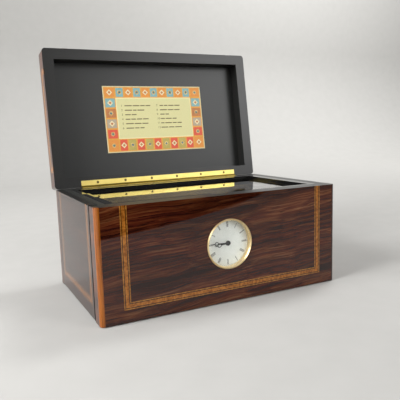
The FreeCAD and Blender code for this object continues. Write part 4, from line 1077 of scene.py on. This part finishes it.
    def numbers(self, places: list[tuple[str, float, float]]) -> None:
        """Plain row numbers, set as flat text and turned into one mesh on the card.

        Args:
            places: each number's text and where it starts on the card.
        """
        plane = self.plane()
        middle = (Level.HEART.value - 0.5) * self.layer
        verts, faces, start = [], [], 0
        for text, x, y in places:
            curve = bpy.data.curves.new("row_number", "FONT")
            curve.body = text
            curve.size = self.number_h
            curve.extrude = self.layer / 2
            curve.align_y = "CENTER"
            holder = bpy.data.objects.new("row_number", curve)
            mesh = bpy.data.meshes.new_from_object(holder)
            points = np.empty(len(mesh.vertices) * 3)
            mesh.vertices.foreach_get("co", points)
            points = points.reshape(-1, 3) + np.array((x, y, middle))
            verts.append(plane.at(points[:, :2], points[:, 2:]))
            corners = np.empty(len(mesh.loops), np.int32)
            mesh.loops.foreach_get("vertex_index", corners)
            firsts = np.empty(len(mesh.polygons), np.int32)
            mesh.polygons.foreach_get("loop_start", firsts)
            faces += [face.tolist() for face in np.split(corners + start, firsts[1:])]
            start += len(points)
            bpy.data.objects.remove(holder)
            bpy.data.curves.remove(curve)
            bpy.data.meshes.remove(mesh)
        piece("card_row_numbers", np.concatenate(verts), faces, Ink.BROWN.finish(), "lid")

    def build(self) -> None:
        """Print the border and what it frames."""
        self.border()
        self.contents()


@dataclass
class Movement:
    """The brass and steel works under the glass, and the pins of the tune cylinder."""

    tracks: int = 72
    pins_per_track: int = 22
    pin_r: float = 0.24 * MM
    pin_h: float = 0.9 * MM
    pin_sunk: float = 0.1 * MM
    tip_share: float = 0.7
    sides: int = 5
    seed: int = 11

    def finishes(self) -> dict[str, Finish]:
        """The finish of each node of the works, the lid's hinge and the pivot pins.

        Returns:
            Finishes by the node's name.
        """
        groups = {
            BRASS: ("bedplate", "cylinder_brackets", "barrel_brackets", "comb_base", "spring_barrel",
                    "barrel_gear", "great_wheel", "tune_cylinder", "governor_frame", "worm_wheel",
                    "governor_fly", "winding_key", "start_lever", "change_lever", "flap_pivot_pins",
                    "glass_lid_pins"),
            STEEL: ("comb", "cylinder_arbor", "winding_arbor", "ratchet_wheel", "ratchet_click",
                    "governor_pinion", "endless_screw", "lever_posts"),
            HINGE_BRASS: ("lid_hinge_case_leaf", "lid_hinge_lid_leaf", "lid_hinge_pin"),
            BLUED: ("movement_screws", "mainspring"),
            BRONZED: ("lid_hinge_case_screws", "lid_hinge_lid_screws"),
        }
        return {node: finish for finish, nodes in groups.items() for node in nodes}

    def build(self) -> None:
        """Hundreds of short pins standing out of the cylinder along the comb's tracks.

        A pin's points are centre + h out + r (cos t side + sin t axis), r shrinking a little towards its tip.
        """
        low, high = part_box("tune_cylinder")
        comb_low, comb_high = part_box("comb")
        radius = (high.z - low.z) / 2
        axis_y, axis_z = (low.y + high.y) / 2, (low.z + high.z) / 2
        rng = np.random.default_rng(self.seed)
        track = np.repeat(np.arange(self.tracks), self.pins_per_track)
        x = comb_low.x + (track + 0.5) * (comb_high.x - comb_low.x) / self.tracks
        angle = rng.uniform(0.0, 2 * np.pi, len(track))
        out = np.stack((np.zeros_like(angle), np.cos(angle), np.sin(angle)), -1)
        side = np.stack((np.zeros_like(angle), -np.sin(angle), np.cos(angle)), -1)
        centre = np.stack((x, np.full_like(x, axis_y), np.full_like(x, axis_z)), -1)
        turn = np.arange(self.sides) * 2 * np.pi / self.sides
        c, s = np.cos(turn)[None, :, None], np.sin(turn)[None, :, None]
        spread = self.pin_r * (c * side[:, None] + s * np.array(LEFT))
        foot = centre + out * (radius - self.pin_sunk)
        tip = centre + out * (radius + self.pin_h)
        rings = np.stack((foot[:, None] + spread, tip[:, None] + self.tip_share * spread), 1)
        k = np.arange(self.sides)
        after = (k + 1) % self.sides
        wall = np.stack((k, after, after + self.sides, k + self.sides), -1)
        base = 2 * self.sides * np.arange(len(track))[:, None]
        walls = (wall[None] + base[..., None]).reshape(-1, 4)
        feet, tips = base + k[::-1], base + self.sides + k
        faces = walls.tolist() + feet.tolist() + tips.tolist()
        piece("cylinder_pins", rings, faces, STEEL, "tune_cylinder")


@dataclass(frozen=True)
class Lamp:
    """A square soft light: where it hangs, what it faces, its side, its power and how wide it spreads."""

    name: str
    place: Vec
    target: Vec
    size: float
    watts: float
    spread_deg: float = 180.0

    def hang(self) -> None:
        """Make the lamp and turn it towards its target."""
        data = bpy.data.lights.new(self.name, "AREA")
        data.spread = math.radians(self.spread_deg)
        data.size = self.size
        data.energy = self.watts
        made = bpy.data.objects.new(self.name, data)
        turn = (Vector(self.target) - Vector(self.place)).to_track_quat("-Z", "Y")
        made.matrix_world = Matrix.Translation(self.place) @ turn.to_matrix().to_4x4()
        bpy.context.scene.collection.objects.link(made)


@dataclass
class Studio:
    """Floor, light and camera: a pale paper sweep, with a dark mat on it in front of the box.

    The camera doesn't see the mat, but the polished front panel mirrors it above the pale floor.
    """

    eye: Vec = (-0.3161, -0.6483, 0.2264)
    forward: Vec = (0.44695, 0.88275, -0.14486)
    roll_deg: float = -1.73
    lens_mm: float = 45.56
    sensor_mm: float = 36.0
    edge_x: float = -0.3
    edge_y: float = -0.498
    edge_slope: float = -0.127
    edge_curve: float = -0.39
    edge_steps: int = 62
    mat_left: float = -0.3
    mat_right: float = 1.25
    mat_front: float = -1.2
    mat_rise: float = 1.0 * MM
    sweep_front: float = -9.0
    sweep_left: float = -4.4
    sweep_right: float = 4.4
    sweep_back: float = 1.5
    sweep_r: float = 0.7
    sweep_columns: int = 3
    sweep_steps: int = 12
    sweep_top: float = 3.2
    room_span: Pair = (-0.05, 0.8)
    room_tones: tuple[tuple[float, str], ...] = ((0.07, "#6f6d6b"), (0.35, "#bcbab7"), (1.0, "#f2f0ee"))
    room_strength: float = 0.45
    lamps: tuple[Lamp, ...] = (
        Lamp("key_light", (-1.6, -0.2, 1.05), (-0.1, 0.0, 0.0), size=0.9, watts=55.0),
        Lamp("window_light", (1.1, -1.35, 1.0), (0.0, 0.15, 0.4), size=1.2, watts=2.2, spread_deg=50.0),
        Lamp("backdrop_light", (1.9, 0.8, 2.8), (1.55, 2.2, 0.9), size=1.3, watts=90.0, spread_deg=155.0),
    )

    def camera(self) -> None:
        """Look along the solved direction, with the horizon tipped by the roll."""
        ahead = Vector(self.forward).normalized()
        right = ahead.cross(Vector(UP)).normalized()
        up = right.cross(ahead)
        roll = math.radians(self.roll_deg)
        tipped = right * math.cos(roll) + up * math.sin(roll)
        turn = Matrix((tipped, tipped.cross(ahead), -ahead)).transposed()
        data = bpy.data.cameras.new("camera")
        data.lens = self.lens_mm
        data.sensor_width = self.sensor_mm
        made = bpy.data.objects.new("camera", data)
        made.matrix_world = Matrix.Translation(self.eye) @ turn.to_4x4()
        bpy.context.scene.collection.objects.link(made)
        bpy.context.scene.camera = made

    def sheet(self, name: str, points: np.ndarray, finish: Finish) -> None:
        """Make a smooth stage sheet of a grid of points.

        Args:
            name: the sheet's name.
            points: columns of points, n by m by 3.
            finish: what the sheet is made of.
        """
        n, m = points.shape[:2]
        i, j = np.meshgrid(np.arange(n - 1), np.arange(m - 1), indexing="ij")
        faces = np.stack((i * m + j, (i + 1) * m + j, (i + 1) * m + j + 1, i * m + j + 1), -1).reshape(-1, 4)
        mesh = bpy.data.meshes.new(name)
        mesh.from_pydata(points.reshape(-1, 3).tolist(), [], faces.tolist())
        mesh.polygons.foreach_set("use_smooth", np.full(len(faces), True))
        mesh.materials.append(finish.material())
        made = bpy.data.objects.new(name, mesh)
        bpy.context.scene.collection.objects.link(made)
        LOG.info("stage %s: %d faces", name, len(faces))

    def floor(self) -> None:
        """A paper that runs back flat, then up a quarter circle of radius r into a backdrop.

        On the bend a point is y = back + r sin t and z = r (1 - cos t).
        """
        bend = np.linspace(0.0, np.pi / 2, self.sweep_steps + 1)
        y = np.concatenate(([self.sweep_front], self.sweep_back + self.sweep_r * np.sin(bend),
                            [self.sweep_back + self.sweep_r]))
        z = np.concatenate(([0.0], self.sweep_r * (1 - np.cos(bend)), [self.sweep_top]))
        column = np.stack((np.zeros_like(y), y, z), -1)
        x = np.linspace(self.sweep_left, self.sweep_right, self.sweep_columns)
        self.sheet("paper_sweep", column[None] + x[:, None, None] * np.array(RIGHT), PAPER)

    def mat(self) -> None:
        """A dark mat whose far edge is edge_y + slope t + curve t squared, for t to the right of edge_x."""
        x = np.linspace(self.mat_left, self.mat_right, self.edge_steps + 1)
        t = np.maximum(x - self.edge_x, 0.0)
        edge = np.maximum(self.edge_y + self.edge_slope * t + self.edge_curve * t ** 2, self.mat_front)
        y = np.stack((np.full_like(x, self.mat_front), edge), -1)
        points = np.stack((np.broadcast_to(x[:, None], y.shape), y, np.full_like(y, self.mat_rise)), -1)
        self.sheet("dark_mat", points, VELVET)

    def light(self) -> None:
        """A pale room that darkens towards the floor, with soft lamps at the left, the right and the back."""
        world = bpy.data.worlds.new("room")
        bpy.context.scene.world = world
        world.use_nodes = True
        tree = world.node_tree
        way = add(tree, "SeparateXYZ", {0: add(tree, "TexCoord").outputs["Generated"]})
        height = add(tree, "MapRange", {"Value": way.outputs["Z"], "From Min": self.room_span[0],
                                        "From Max": self.room_span[1]})
        color = add(tree, "ValToRGB", {"Fac": height.outputs["Result"]}, list(self.room_tones))
        background = tree.nodes["Background"]
        tree.links.new(color.outputs["Color"], background.inputs["Color"])
        background.inputs["Strength"].default_value = self.room_strength
        for lamp in self.lamps:
            lamp.hang()

    def build(self) -> None:
        """Set the view, the floor and the light."""
        bpy.context.scene.view_settings.view_transform = "Standard"
        self.camera()
        self.floor()
        self.mat()
        self.light()


def dress(finishes: dict[str, Finish]) -> None:
    """Give nodes of the frame their materials.

    Args:
        finishes: finishes by the node's name.
    """
    for node, finish in finishes.items():
        target = frame["nodes"][node]
        target.data.materials.clear()
        target.data.materials.append(finish.material())
        LOG.info("node %s in %s", node, finish.name)


def main() -> None:
    """Dress the box piece by piece and set the studio round it."""
    logging.basicConfig(level=logging.INFO, format="%(message)s")
    assemblies = (Case(), Clock(), TuneCard(), Movement())
    for assembly in assemblies:
        dress(assembly.finishes())
    for assembly in assemblies:
        assembly.build()
    Studio().build()


if __name__ == "__main__":
    main()
